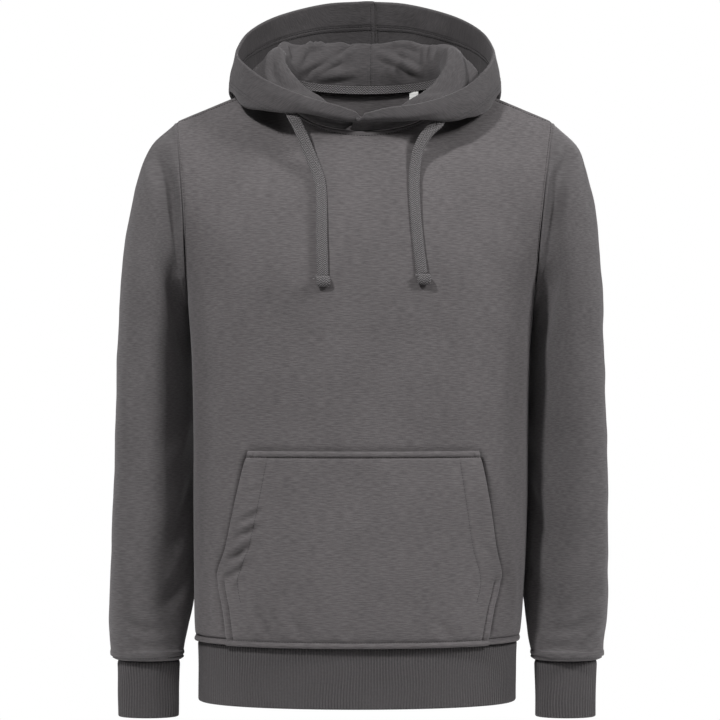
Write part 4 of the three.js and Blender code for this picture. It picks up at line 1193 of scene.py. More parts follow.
@dataclass
class Sleeve:
    """A set-in sleeve, sewn to a tube from the armhole to the roll over its cuff."""

    hand: Hand
    step: float = 3.9
    round_step: float = 3.2  # degrees
    fall_back: float = 21.0  # how far the side next to the body has sunk back, most above the elbow
    seam: SeamForm = field(default_factory=lambda: SeamForm(allowance=5.0, turn=1.2, puff=0.5, groove=0.2))
    creases: tuple[Crease, ...] = ()

    def ring(self, at: Number, angle: Number) -> Grid:
        """A point of the wearer's left sleeve before the lean: angle 0 outside, 90 in front."""
        c, s = np.cos(np.radians(angle)), np.sin(np.radians(angle))
        value = {key: SLEEVE.read(key, at) for key in SLEEVE.names[1:]}
        x = (value["outX"] + value["inX"] + (value["outX"] - value["inX"]) * c) / 2 - value["hollow"] * s * s
        z = (value["outZ"] + value["inZ"] + (value["outZ"] - value["inZ"]) * c) / 2
        y = value["y"] + value["tip"] * c - s * np.where(s > 0, value["front"], value["back"])
        deg = np.mod(angle, 360.0)
        side = smooth(deg, 86, 150) * (1 - smooth(deg, 185, 250))
        held = smooth(at, 0.8, 2.6) * blend(1.0, 0.45, smooth(at, 5.0, 6.6)) * (1 - smooth(at, 8.0, 9.8))
        return stack(x, y + self.fall_back * side * held, z)

    def end(self, at: Number, angle: Number) -> Grid:
        """The last stretch over the cuff, at 0 to 1."""
        c, s = np.cos(np.radians(angle)), np.sin(np.radians(angle))
        share, puff = SLEEVE_END.read("share", at), SLEEVE_END.read("puff", at)
        last = self.ring(10.0, angle)
        cuff = cuff_point(angle, CUFF_TOP)
        p = last + (cuff - last) * np.asarray(share)[..., None]
        return stack(p[..., 0] + c * puff, p[..., 1] - s * puff, SLEEVE_END.read("z", at))

    def place(self, at: float, angle: float) -> Grid:
        """A point of this sleeve by order from the armhole and angle, where a crease passes."""
        p = self.ring(at, angle) if at <= 10 else self.end(at - 10, angle)
        return leaned(np.asarray(p) * np.array([self.hand.value, 1, 1]))

    def build(self) -> list[bpy.types.Object]:
        """Builds the sleeve and the stitches over its cuff."""
        angle = np.arange(180.0, 540.0, self.round_step)
        fine = np.linspace(0, 10, 500)
        walked = np.concatenate([[0], np.cumsum(np.linalg.norm(np.diff(self.ring(fine, 90.0), axis=0), axis=1))])
        far = spaced(EDGE_MARKS, 0.0, walked[-1], self.step)
        at = np.interp(far, walked, fine)
        grid = self.ring(at[:, None], angle[None, :])
        ends = self.end(np.linspace(0, 1, 15)[1:][:, None], angle[None, :])
        grid = np.concatenate([grid, ends])
        if self.hand is Hand.RIGHT:
            grid = (grid * np.array([-1, 1, 1]))[:, ::-1]
        flat = leaned(grid)
        cloth = Cloth(flat.copy(), closed=True, level=True)
        top, bottom = cloth.off(Edge.FIRST), cloth.off(Edge.LAST)
        seed = 21 if self.hand is Hand.LEFT else 31
        out = (ripple(flat, 75, seed) * 0.8 + ripple(flat, 30, seed + 1) * 0.25) * smooth(top, 6, 40) * smooth(bottom, 6, 30)
        for crease in self.creases:
            spots = np.array([self.place(a, b) for a, b in crease.places])
            out = out + crease.push(flat, spots) * smooth(top, 1, 11) * smooth(bottom, 7, 12)
        out = out + self.seam.push(top) + UNDERARM_FILL * np.exp(-((top / 1.1) ** 2)) * near_underarm(flat)
        groove = -1.9 * np.exp(-(((bottom - 9.2) / 1.2) ** 2)) - 1.0 * np.exp(-((bottom / 0.9) ** 2))
        cloth.raise_by(out + groove * (1 + 0.25 * ripple(flat, 40, seed + 2)))
        name = f"sleeve_{self.hand.name.lower()}"
        # the sleeve's cloth carries painted shade: a darker tone than the body's
        piece = put(shell(f"{name}_tube", cloth, FLEECE, SLEEVE_PAINTED_SHADE_FINISH, 0.1), "fleece", name)
        line, way = row_line(cloth, bottom, 9.2, True)
        line, way = np.concatenate([line, line[:1]]), np.concatenate([way, way[:1]])
        return [piece, sew(f"stitches_{name}", [(line, way)])]


def cuff_point(angle: Number, z: Number) -> Grid:
    """A point of the wearer's left cuff before the lean."""
    c, s = np.cos(np.radians(angle)), np.sin(np.radians(angle))
    x = CUFF.read("x", z) + CUFF.read("half", z) * c
    return stack(x, CUFF.read("y", z) - CUFF.read("deep", z) * s, z)


# ---------------------------------------------------------------- ribs


@dataclass
class RibBand:
    """A doubled band of rib knit: raised ribs outside and inside, folded at its free edge."""

    name: str
    ribs: int
    top: float
    bottom: float
    ring: str  # which ring it follows: hem, left or right
    rise: float = 0.8
    across: int = 8  # points for each rib
    flat: tuple[float, float] = (0.96, 0.07)
    sway: float = 1.1  # how far the ribs waver sideways
    pull: float = 1.2  # how far the band draws in below its seam

    def outline(self, turn: Grid, z: float) -> Grid:
        """The band's ring at a height, by share of the way round."""
        if self.ring == "hem":
            c, s = np.cos(2 * math.pi * turn), np.sin(2 * math.pi * turn)
            deep = np.where(c >= 0, -HEM_BAND.read("front", z), HEM_BAND.read("back", z))
            return stack(HEM_BAND.read("half", z) * s, deep * np.abs(c) ** BLOCK.roundness, z)
        if self.ring == "left":
            return cuff_point(-360 * turn, z)
        return cuff_point(180 + 360 * turn, z) * np.array([-1, 1, 1])

    def even(self, count: int, z: float) -> Grid:
        """Points at even distances round the ring."""
        turn = np.linspace(0, 1, 1441)
        ring = self.outline(turn, z)
        walked = np.concatenate([[0], np.cumsum(np.linalg.norm(np.diff(ring, axis=0), axis=1))])
        want = walked[-1] * np.arange(count) / count
        return np.stack([np.interp(want, walked, ring[:, i]) for i in range(3)], -1)

    def build(self) -> list[bpy.types.Object]:
        """Builds the band."""
        count = self.ribs * self.across
        tall = self.top - self.bottom
        rows = np.array([0, 0.4, 1.0, 1.9, 3.2, 6, 10, 16, 24, 32, 40, 48, 56, 62, 66, 68.5, 70]) / 70 * tall
        phase = np.cos(2 * math.pi * np.arange(count) / self.across)
        rib = np.sign(phase) * np.abs(phase) ** 0.8
        grid, height = [], []
        for low in rows:
            z = self.bottom + low
            ring = self.even(count, z)
            stretch = np.clip(0.82 + 0.36 * ripple(ring, 80, 43), 0.4, 1.0)
            ahead = np.roll(ring, -1, 0) - np.roll(ring, 1, 0)
            away = unit(np.cross(ahead, np.array([0.0, 0.0, 1.0])))
            share = low / tall
            fold = -1.3 * (1 - math.sqrt(max(0.0, 1 - (1 - min(1.0, low / 1.9)) ** 2)))
            top = -1.2 * math.exp(-(((tall - low) / 1.6) ** 2))
            fade = 1 - 0.75 * math.exp(-((low / 0.9) ** 2))
            soft = ripple(ring, 60, 41) * 0.5 * math.sin(math.pi * share)
            out = self.rise * 0.5 * rib * fade * stretch + self.rise * 0.5 + fold + top + soft
            out = out - self.pull * math.sin(math.pi * min(1.0, share)) * 0.6
            drift = np.sin(ring[:, :1] / 47 + share * 3.0) + 0.6 * np.sin(ring[:, :1] / 19 - share * 5.0)
            slide = unit(ahead) * (self.sway * drift * math.sin(math.pi * share))
            grid.append(ring + away * out[:, None] + slide)
            height.append(0.5 + rib * 0.5 * fade * stretch)
        points = leaned(np.array(grid))
        cloth = Cloth(points, closed=True)
        thick = RIB_CLOTH + np.array(height) * self.rise * 0.7
        piece = shell(f"{self.name}_knit", cloth, thick, RIB_FINISH, 0.35)
        self.paint_rib_shade(piece, np.array(height))
        put(piece, "rib", self.name)
        return [piece]

    def paint_rib_shade(self, piece: bpy.types.Object, height: Grid) -> None:
        """Stores on each vertex how far up a rib it lies, for the finish's painted shade in the valleys and painted
        light on the rib tops.
        """
        flat = height.reshape(-1)
        values = np.full(len(piece.data.vertices), 0.5, np.float32)
        values[: len(flat)] = flat
        values[len(flat) : 2 * len(flat)] = flat
        spot = piece.data.attributes.new("rib_height_painted_shade", "FLOAT", "POINT")
        spot.data.foreach_set("value", values)


# ---------------------------------------------------------------- hood


@dataclass
class HoodHalf:
    """One half of the hood with its turned casing, from the throat to the seam at the middle of the back."""

    hand: Hand
    uneven: float = 4.5  # the upper half hangs this much lower over the chest, the other this much higher
    end: float = -9.0
    columns: int = 112
    wall_rows: int = 84
    seam_shift: float = 4.2  # degrees by which the twisted hood carries its middle seam to the wearer's left
    seam_lap: float = 0.22  # degrees by which the halves meet past their seam, so that it shows no gap
    casing_start: float = 22.0  # degrees from the throat at which the casing's own seam begins
    casing_rows: int = 22
    seam: SeamForm = field(default_factory=lambda: SeamForm(allowance=6.0, turn=0.8, puff=0.4, groove=0.15))
    creases: tuple[Crease, ...] = ()

    def section(self, angle: Grid) -> Grid:
        """The knots of each section's curve, 7 x angles x 3."""
        base = BLOCK.neckline(np.abs(angle))
        base[..., 0] *= np.where(angle < 0, -1, 1)
        turn = np.radians(angle)
        out = stack(np.sin(turn), -np.cos(turn), 0)
        lift = -self.hand.value * self.uneven
        sway = lift * np.sin(math.pi * np.clip((angle - 10) / 85, 0, 1))
        knots = [base]
        for i, key in enumerate(("1", "2", "3", "4", "5", "Rim")):
            share = min(1.0, (i + 1) / 4)
            p = base + out * HOOD.read(f"o{key}", np.abs(angle))[..., None]
            p[..., 2] += HOOD.read(f"u{key}", np.abs(angle)) + sway * share
            knots.append(p)
        return np.stack(knots)

    def build(self) -> list[bpy.types.Object]:
        """Builds the half and its stitches."""
        over = self.hand is Hand.LEFT
        first = self.end if over else 0.0
        last = 180.0 - self.hand.value * self.seam_shift + self.seam_lap
        close = last - np.array([4.6, 3.4, 2.5, 1.8, 1.2, 0.7, 0.3, 0.0])
        angle = np.concatenate([np.linspace(first, 120, 84), np.linspace(120, last - 6.0, 36)[1:], close])
        knots = self.section(angle)
        fine = np.linspace(0, 6, 500)[:, None] * np.ones(len(angle))[None, :]
        curve = curve_points(knots, fine)
        step = np.linalg.norm(np.diff(curve, axis=0), axis=-1)
        walked = np.concatenate([np.zeros((1, len(angle))), np.cumsum(step, 0)])
        total = walked[-1]
        start = np.array([
            max(5.1, np.interp(total[k] - min(CASING, total[k] / 2), walked[:, k], fine[:, k]))
            for k in range(len(angle))
        ])
        up = np.linspace(0, 1, self.wall_rows)
        edge = np.array([0, 0.004, 0.008, 0.014])
        share = np.unique(np.concatenate([edge, up]))
        body = share[:, None] * start[None, :]
        hem = start[None, :] + (6 - start[None, :]) * np.linspace(0, 1, self.casing_rows + 1)[1:, None]
        station = np.concatenate([body, hem])
        cut = 1 - 0.9 * np.maximum(0, angle / self.end) if over else blend(0.8, 1.0, smooth(angle, 0, 6))
        grid = curve_points(knots, station * cut[None, :])
        if not over:
            grid = self.tucked(grid, angle, station)
            grid = (grid * np.array([-1, 1, 1]))[:, ::-1]
            angle = angle[::-1]
        flat = leaned(grid)
        cloth = Cloth(flat.copy())
        neck = cloth.off(Edge.FIRST)
        back = cloth.off(Edge.RIGHT if over else Edge.LEFT)
        rim = cloth.off(Edge.LAST)
        seed = 51 if over else 61
        inland = smooth(neck, 4, 25) * smooth(back, 3, 18) * smooth(rim, 2, 25)
        out = (ripple(flat, 48, seed) * 0.8 + ripple(flat, 20, seed + 1) * 0.25) * inland
        self.flat, self.angle, self.station = flat, angle, station
        for crease in self.creases:
            spots = np.array([self.place(a, b) for a, b in crease.places])
            out = out + crease.push(flat, spots) * smooth(neck, 1, 10) * smooth(back, 0, 4)
        out = out + self.seam.push(neck) * smooth(np.abs(angle), 2, 12)[None, :]
        middle = -0.9 * np.exp(-((back / 1.1) ** 2)) + 0.4 * np.exp(-(((back - 4.0) / 2.0) ** 2))
        out = out + middle * smooth(rim, 0, 6)
        cloth.raise_by(out)
        depth = blend(FLEECE, CASING_CLOTH, smooth(CASING - rim, -1.5, 1.5))
        for line in (CASING - 2.0, CASING - 6.0):
            depth = depth - 1.1 * np.exp(-(((rim - line) / 0.9) ** 2)) * smooth(np.abs(angle), 18, 26)[None, :]
        depth = depth - 1.75 * np.exp(-((back / 1.2) ** 2))
        name = f"hood_{self.hand.name.lower()}"
        # the hood's cloth carries painted shade: a darker tone than the body's
        piece = put(shell(f"{name}_half", cloth, depth, HOOD_PAINTED_SHADE_FINISH, 0.45), "fleece", name)
        self.cloth = cloth
        return [piece, self.stitches(name, rim, back, depth)]

    def stitches(self, name: str, rim: Grid, back: Grid, depth: Grid) -> bpy.types.Object:
        """The casing's twin seam and the seam beside the middle of the back, on both sides of the cloth."""
        lines = []
        away = np.abs(self.angle) > self.casing_start
        last = len(rim) - 1
        for want in (CASING - 2.0, CASING - 6.0):
            p, n = row_line(self.cloth, rim, want, True)
            lines.append((p[away], n[away], CASING_CLOTH))
        middle = int(np.argmin(np.abs(rim[:, len(self.angle) // 2] - CASING)))
        p, n = row_line(self.cloth, back, 4.2, False)
        lines.append((p[middle:last], n[middle:last], CASING_CLOTH))
        both = [(p, n) for p, n, _ in lines] + [(p - n * thick, -n) for p, n, thick in lines]
        p, n = row_line(self.cloth, back, 0.45, False)
        both.append((p[6:last] - n[6:last] * (FLEECE - 1.6), -n[6:last]))
        return sew(f"stitches_{name}", both)

    def tucked(self, grid: Grid, angle: Grid, station: Grid) -> Grid:
        """The lower half's throat end, moved in and up by the cloth that lies over it."""
        turn = np.radians(angle)
        high = smooth(station, 0.0, 3.0)
        share = np.minimum(1, station / 3.0)
        way = stack(-np.sin(turn) * (1 + 0.2 * high), np.cos(turn) * (1 + 0.2 * high), 1 - high)
        start, end = blend(9.0, 4.0, share), blend(14.0, 19.0, share)
        t = np.clip((angle[None, :] - start) / (end - start), 0, 1)
        return grid + way * ((CASING_CLOTH + UNDER_STEP) * (1 - t * t * (3 - 2 * t)))[..., None]

    def place(self, angle: float, station: float) -> Grid:
        """The point of the hood at an angle and a station from the neckline (0) to the rim (6)."""
        col = int(np.argmin(np.abs(self.angle - angle)))
        row = int(np.argmin(np.abs(self.station[:, 0] - station)))
        return self.flat[row, col]


# ---------------------------------------------------------------- pocket


@dataclass
class KangarooPocket:
    """The front pocket: sewn down at the top, the lower sides and the waistband, open at its slanted sides."""

    lift: float = 0.5  # space between pocket and front at its sewn edges
    ease: float = 3.0
    columns: int = 104
    band: float = 7.0  # height of the stitched band along the top
    hem: float = 22.0  # width of the hem along each opening
    corner: float = -572.0  # height at which the openings begin

    def over_front(self, x: Grid, z: Grid, off: Grid) -> Grid:
        """Points laid over the front at a distance from it."""
        angle = np.degrees(np.arcsin(np.clip(x / TORSO.read("half", z), -1, 1)))
        ahead = BLOCK.torso(angle + 1, z) - BLOCK.torso(angle - 1, z)
        above = BLOCK.torso(angle, z + 2) - BLOCK.torso(angle, z - 2)
        return BLOCK.torso(angle, z) + unit(np.cross(ahead, above)) * off[..., None]

    def build(self) -> list[bpy.types.Object]:
        """Builds the pocket and its stitches."""
        marks = (0, 0.7, 1.4, 2.2, 3.2, 4.2, 5.2, 6.0, 6.8, 7.8, 9.5, 12.0)
        up = spaced(marks, WAIST_SEAM, -437.0, 3.4)
        heights = np.concatenate([up, np.array([-435, -434, -433.2, -432.5, -431.6, -430.5, -429, -427.6, -426.6, -426])])
        marks = np.array([0, 0.6, 1.3, 2.2, 3.4, 4.6, 5.6, 6.4, 7.2, 8.6, 11, 14, 17, 19.5, 21, 22, 23, 24.5, 27.5])
        grid, edge = [], []
        for z in heights:
            half, shift = float(POCKET.read("half", z)), float(POCKET.read("shift", z))
            side = np.concatenate([marks, np.linspace(marks[-1], half, self.columns // 2 - len(marks) + 1)[1:]])
            x = np.concatenate([-half + side, (half - side)[::-1][1:]])
            grid.append(np.stack([x + shift, np.full_like(x, z)], -1))
            edge.append(half - np.abs(x))
        spot, side = np.array(grid), np.array(edge)
        x, z = spot[..., 0], spot[..., 1]
        slope = np.where(z > self.corner, 0.965, 0.98)
        side = side * slope
        low, high = z - WAIST_SEAM, -426.0 - z
        opening = smooth(z, self.corner - 6, self.corner + 6) * (1 - smooth(z, -436, -428))
        closed = 1 - opening
        mid = (1 - (np.abs(x - 2) / 150) ** 4) * np.sin(math.pi * np.clip(low / 219 * 1.04 - 0.02, 0, 1))
        out = FLEECE + self.lift + self.ease * np.clip(mid, 0, 1)
        roll = 2.6 * np.sin(math.pi * np.clip(low / 6.5, 0, 1)) ** 0.7 - 1.2 * np.exp(-((low / 0.9) ** 2))
        out = out + roll * 0.9 - 0.9 * np.exp(-(((low - 7.0) / 1.4) ** 2))
        top = 1.1 * np.sin(math.pi * np.clip(high / self.band, 0, 1)) ** 0.6 - 0.7 * np.exp(-((high / 0.9) ** 2))
        out = out + top - 1.5 * np.exp(-(((high - self.band) / 1.2) ** 2))
        seam = 1.2 * np.sin(math.pi * np.clip(side / 6.4, 0, 1)) ** 0.8 - 1.7 * np.exp(-(((side - 6.6) / 1.1) ** 2))
        seam = seam - 0.5 * np.exp(-((side / 0.8) ** 2))
        out = out + seam * closed * smooth(high, 0, 8) * smooth(low, 2, 9)
        gape = 6.4 * np.exp(-((side / 12) ** 2)) * np.sin(math.pi * np.clip((z - self.corner) / 140, 0, 1)) ** 0.6
        lay = 1.0 * (1 - smooth(side, 20.5, 23.5)) - 0.3 * np.exp(-(((side - 22.2) / 1.0) ** 2))
        out = out + (gape + lay) * opening
        flat = leaned(self.over_front(x, z, out))
        out = ripple(flat, 60, 71) * 0.7 + ripple(flat, 24, 72) * 0.22
        inland = smooth(side, 3, 26) * smooth(low, 8, 26) * smooth(high, 8, 26)
        cloth = Cloth(flat, level=True)
        total = out * inland
        for crease in POCKET_CREASES:
            total = total + crease.push(flat, self.spots(crease)) * smooth(low, 7, 12) * smooth(high, 8, 14)
        cloth.raise_by(total)
        piece = put(shell("kangaroo_pocket", cloth, FLEECE, FLEECE_FINISH, 0.4), "fleece", "pocket")
        self.cloth = cloth
        return [piece, self.stitches(low, high, side)]

    def spots(self, crease: Crease) -> Grid:
        """The crease's places on the pocket, given as x and z."""
        x, z = np.array(crease.places, float).T
        return leaned(self.over_front(x, z, np.full(x.shape, FLEECE + self.lift + 2.0)))

    def stitches(self, low: Grid, high: Grid, side: Grid) -> bpy.types.Object:
        """The topstitching round the pocket."""
        cloth = self.cloth
        lines = [row_line(cloth, high, self.band, True), row_line(cloth, low, 7.0, True)]
        middle = side.shape[1] // 2
        z = low[:, 0] + WAIST_SEAM
        halves = (
            (Cloth(cloth.points[:, : middle + 1]), side[:, : middle + 1]),
            (Cloth(cloth.points[:, middle:]), side[:, middle:]),
        )
        for part, off in halves:
            p, n = row_line(part, off, 6.6, False)
            keep = (z < self.corner + 2) & (z > WAIST_SEAM + 7)
            lines.append((p[keep], n[keep]))
            p, n = row_line(part, off, 22.2, False)
            keep = (z > self.corner - 26) & (z < -434)
            lines.append((p[keep], n[keep]))
        return sew("stitches_pocket", lines)


# ---------------------------------------------------------------- cords


@dataclass
class Drawcord:
    """The free end of the flat drawcord, hanging from under the hood, with the knot that ends it."""

    hand: Hand
    width: float = 12.4
    thick: float = 3.0
    step: float = 0.8
    round_points: int = 28

    def line(self) -> Grid:
        """The cord's centre line, about every step."""
        route = np.array(CORD_ROUTES[self.hand], float)
        rough = curve_points(route, np.linspace(0, len(route) - 1, 600))
        walked = np.concatenate([[0], np.cumsum(np.linalg.norm(np.diff(rough, axis=0), axis=1))])
        self.long = float(walked[-1])
        want = np.linspace(0, walked[-1], int(walked[-1] / self.step))
        return np.stack([np.interp(want, walked, rough[:, i]) for i in range(3)], -1)

    def frames(self, line: Grid) -> tuple[Grid, Grid]:
        """The cord's sideways and forward directions along its line."""
        way = unit(np.gradient(line, axis=0))
        ahead = np.array([0.0, -1.0, 0.0]) - way * (way @ np.array([0.0, -1.0, 0.0]))[:, None]
        ahead = unit(ahead)
        return np.cross(way, ahead), ahead

    def build(self) -> list[bpy.types.Object]:
        """Builds the cord and its knot."""
        line = self.line()
        side, ahead = self.frames(line)
        turn = np.linspace(0, 2 * math.pi, self.round_points, endpoint=False)
        c, s = np.cos(turn), np.sin(turn)
        flat_x = np.sign(c) * np.abs(c) ** 0.62 * self.width / 2
        flat_y = np.sign(s) * np.abs(s) ** 0.8 * self.thick / 2
        along = np.arange(len(line)) * self.step
        yarn = 0.14 * np.sin(2 * math.pi * (along[:, None] + 0.9 * np.abs(np.abs(flat_x)[None, :] - 2.9)) / 2.3)
        grow = 1 + yarn / (self.thick / 2) * 0.6
        points = (
            line[:, None, :]
            + side[:, None, :] * flat_x[None, :, None]
            + ahead[:, None, :] * (flat_y[None, :] * grow)[..., None]
        )
        cloth = Cloth(points, closed=True)
        cord = self.solid(cloth, flat_x, along)
        bundle = CordKnot(self.hand)
        knot, tip = bundle.build(), bundle.tip()
        name = self.hand.name.lower()
        put(cord, "cord", f"drawcord_{name}")
        put(knot, "cord", f"cord_knot_{name}")
        return [cord, knot, tip]

    def solid(self, cloth: Cloth, across: Grid, along: Grid) -> bpy.types.Object:
        """The cord as a closed tube, its yarns' places across and along it."""
        rows, cols = cloth.points.shape[:2]
        index = np.arange(rows * cols).reshape(rows, cols)
        index = np.concatenate([index, index[:, :1]], 1)
        wide = np.append(across, across[0])
        place = np.stack(np.broadcast_arrays(wide[None, :], along[:, None]), -1) * MM
        corner = np.arange(rows * (cols + 1)).reshape(rows, cols + 1)
        flat = place.reshape(-1, 2)
        points = cloth.points.reshape(-1, 3)
        outward = np.cross(
            cloth.points[1, 1] - cloth.points[1, 0], cloth.points[2, 0] - cloth.points[1, 0]
        ) @ (cloth.points[1, 0] - cloth.points[1].mean(0))
        faces, places = quads(index), flat[quads(corner)]
        if outward < 0:
            faces, places = faces[:, ::-1], places[:, ::-1]
        return capped(f"drawcord_{self.hand.name.lower()}_braid", points, faces, places, rows, cols, outward < 0)


def capped(
    name: str, points: Grid, faces: Grid, places: Grid, rows: int, cols: int, turned: bool
) -> bpy.types.Object:
    """A tube of rings with both ends closed by a fan.

    Args:
        name: the piece.
        points: the rings' vertices.
        faces: the tube's faces.
        places: its corners' places on the cloth.
        rows: how many rings.
        cols: points in a ring.
        turned: whether the faces run the other way round.

    Returns:
        The object.
    """
    rings = points.reshape(rows, cols, 3)
    ends = np.stack([rings[0].mean(0), rings[-1].mean(0)])
    base = rows * cols
    k = np.arange(cols)
    nxt = (k + 1) % cols
    first = np.stack([np.full(cols, base), nxt, k], -1)
    last_row = (rows - 1) * cols
    last = np.stack([np.full(cols, base + 1), last_row + k, last_row + nxt], -1)
    fans = np.concatenate([first, last])
    if turned:
        fans = fans[:, ::-1]
    mesh = bpy.data.meshes.new(name)
    mesh.from_pydata((np.concatenate([points, ends]) * MM).tolist(), [], faces.tolist() + fans.tolist())
    uv = np.concatenate([places.reshape(-1, 2), np.zeros((len(fans) * 3, 2))])
    mesh.uv_layers.new(name="cloth").data.foreach_set("uv", uv.reshape(-1).astype(np.float32))
    mesh.polygons.foreach_set("use_smooth", np.ones(len(mesh.polygons), bool))
    mesh.materials.append(WARDROBE.take(CORD_FINISH))
    mesh.update()
    thing = bpy.data.objects.new(name, mesh)
    bpy.context.scene.collection.objects.link(thing)
    return thing


@dataclass
class CordKnot:
    """The knot at a cord's end, pulled tight to a small folded barrel with a frayed tip at its upper left."""

    hand: Hand
    wide: float = 14.6
    thick: float = 3.2
    fold_tall: float = 4.7
    fold_deep: float = 2.5
    yarns: int = 26

    def build(self) -> bpy.types.Object:
        """Builds the knot as the cord's last stretch, doubled forward and round behind itself."""
        x, y, z = KNOTS[self.hand]
        centre = np.array([x, y, z])
        count = 90
        t = np.linspace(0, 1, count)
        phase = math.radians(105) - math.radians(345) * t
        path = np.stack([0.9 * np.sin(3.0 * t), -np.cos(phase) * self.fold_deep, np.sin(phase) * self.fold_tall], -1)
        way = unit(np.gradient(path, axis=0))
        out = unit(np.stack([0 * t, -np.cos(phase) * self.fold_tall, np.sin(phase) * self.fold_deep], -1))
        across = unit(np.cross(way, out))
        turn = np.linspace(0, 2 * math.pi, 20, endpoint=False)
        c, s = np.cos(turn), np.sin(turn)
        fx = np.sign(c) * np.abs(c) ** 0.62 * self.wide / 2
        fy = np.sign(s) * np.abs(s) ** 0.8 * self.thick / 2
        taper = 0.93 + 0.13 * np.sin(math.pi * np.clip(t * 1.6, 0, 1)) ** 2
        rings = (
            path[:, None, :]
            + across[:, None, :] * (fx[None, :] * taper[:, None])[..., None]
            + out[:, None, :] * (fy[None, :] * taper[:, None])[..., None]
        )
        points = rings + centre
        rows, cols = points.shape[:2]
        index = np.arange(rows * cols).reshape(rows, cols)
        index = np.concatenate([index, index[:, :1]], 1)
        along = np.concatenate([[0], np.cumsum(np.linalg.norm(np.diff(path, axis=0), axis=1))])
        place = np.stack(np.broadcast_arrays(np.append(fx, fx[0])[None, :], along[:, None]), -1) * MM
        corner = np.arange(rows * (cols + 1)).reshape(rows, cols + 1)
        faces, places = quads(index), place.reshape(-1, 2)[quads(corner)]
        probe = np.cross(points[1, 1] - points[1, 0], points[2, 0] - points[1, 0])
        turned = bool(probe @ (points[1, 0] - points[1].mean(0)) < 0)
        if turned:
            faces, places = faces[:, ::-1], places[:, ::-1]
        name = f"cord_knot_{self.hand.name.lower()}_wound"
        return capped(name, points.reshape(-1, 3), faces, places, rows, cols, turned)

    def tip(self) -> bpy.types.Object:
        """The cord's frayed tip, a short tuft of yarn ends that looks out beside the knot."""
        rng = np.random.default_rng(5 if self.hand is Hand.LEFT else 6)
        root = np.array(KNOTS[self.hand]) + np.array([-5.2, -1.4, 3.0])
        points, faces, base = [], [], 0
        ring = np.array([(math.cos(a), math.sin(a)) for a in np.linspace(0, 2 * math.pi, 6, endpoint=False)])
        tube = quads(np.concatenate([np.arange(24).reshape(4, 6), np.arange(24).reshape(4, 6)[:, :1]], 1))
        for _ in range(self.yarns):
            way = unit(np.array([-1.0, -0.2, 0.75]) + rng.normal(size=3) * 0.34)
            side = unit(np.cross(way, np.array([0.0, 1.0, 0.0])))
            up = np.cross(side, way)
            start = root + rng.normal(size=3) * np.array([0.8, 0.5, 0.9])
            long = rng.uniform(2.4, 4.6)
            for share, wide in ((0, 0.42), (0.4, 0.5), (0.8, 0.42), (1.0, 0.18)):
                bend = np.array([0, 0, -0.5]) * share * share * long * 0.4
                points.append(start + way * share * long + bend + (ring[:, :1] * side + ring[:, 1:] * up) * wide)
            faces.append(tube[:, ::-1] + base)
            base += 24
        faces = np.concatenate(faces)
        places = np.tile(np.array([[0, 0], [0.0006, 0], [0.0006, 0.0007], [0, 0.0007]]), (len(faces), 1, 1))
        name = f"cord_tip_{self.hand.name.lower()}"
        return put(mesh_object(name, np.concatenate(points), faces, places, CORD_FINISH), "cord")


# ---------------------------------------------------------------- tape and tab


@dataclass
class NeckTape:
    """The herringbone tape sewn over the back neck seam, and the size tab that it holds."""

    tall: float = 8.8
    thick: float = 1.2
    inset: float = 4.2
    start: float = 96.0
    tab_angle: float = 139.0
    tab_wide: float = 13.0
    tab_tall: float = 19.0

    def point(self, angle: Grid, up: Grid, inset: Number) -> Grid:
        """A point on the tape's outer side."""
        folded = np.where(angle > 180, 360 - angle, angle)
        p = BLOCK.neckline(folded)
        p[..., 0] *= np.where(angle > 180, -1, 1)
        turn = np.radians(angle)
        inward = stack(-np.sin(turn), np.cos(turn), 0)
        p = p + inward * np.asarray(inset)[..., None]
        p[..., 2] += up
        return p

    def build(self) -> list[bpy.types.Object]:
        """Builds the tape and the tab."""
        angle = np.linspace(self.start, 360 - self.start, 180)
        up = np.array([-1, -0.9, -0.7, -0.4, 0, 0.4, 0.7, 0.9, 1]) * self.tall / 2
        a, u = np.meshgrid(angle, up)
        crown = 0.35 * (np.abs(u) / (self.tall / 2)) ** 4
        grid = leaned(self.point(a, u, self.inset + crown))
        tape = put(shell("neck_tape_band", Cloth(grid), self.thick, TAPE_FINISH, 0.3), "tape", "neck_tape")
        return [tape, self.tab()]

    def tab(self) -> bpy.types.Object:
        """The size tab, left bare, hanging from under the tape with a slight curl."""
        turn = math.radians(self.tab_angle)
        across = np.array([-math.cos(turn), -math.sin(turn), 0.0])
        inward = np.array([-math.sin(turn), math.cos(turn), 0.0])
        top = leaned(BLOCK.neckline(np.array(self.tab_angle)))
        top = top + inward * (self.inset + self.thick / 2)
        top[2] -= self.tall / 2 + 0.4
        w = np.linspace(-0.5, 0.5, 15)
        d = np.linspace(0, 1, 25)[::-1]
        ww, dd = np.meshgrid(w, d)
        curl = 0.5 * np.sin(dd * 2.4) + 0.4 * (ww * 2) ** 2 * dd
        grid = top + across * (ww * self.tab_wide)[..., None] + inward * (curl - 0.3)[..., None]
        grid[..., 2] -= dd * self.tab_tall
        cloth = Cloth(grid)
        if cloth.normals()[12, 7] @ -inward < 0:
            cloth = Cloth(grid[:, ::-1])
        piece = put(shell("size_tab_satin", cloth, 0.5, TAB_FINISH, 0.2), "tab", "size_tab")
        return piece


# ---------------------------------------------------------------- studio


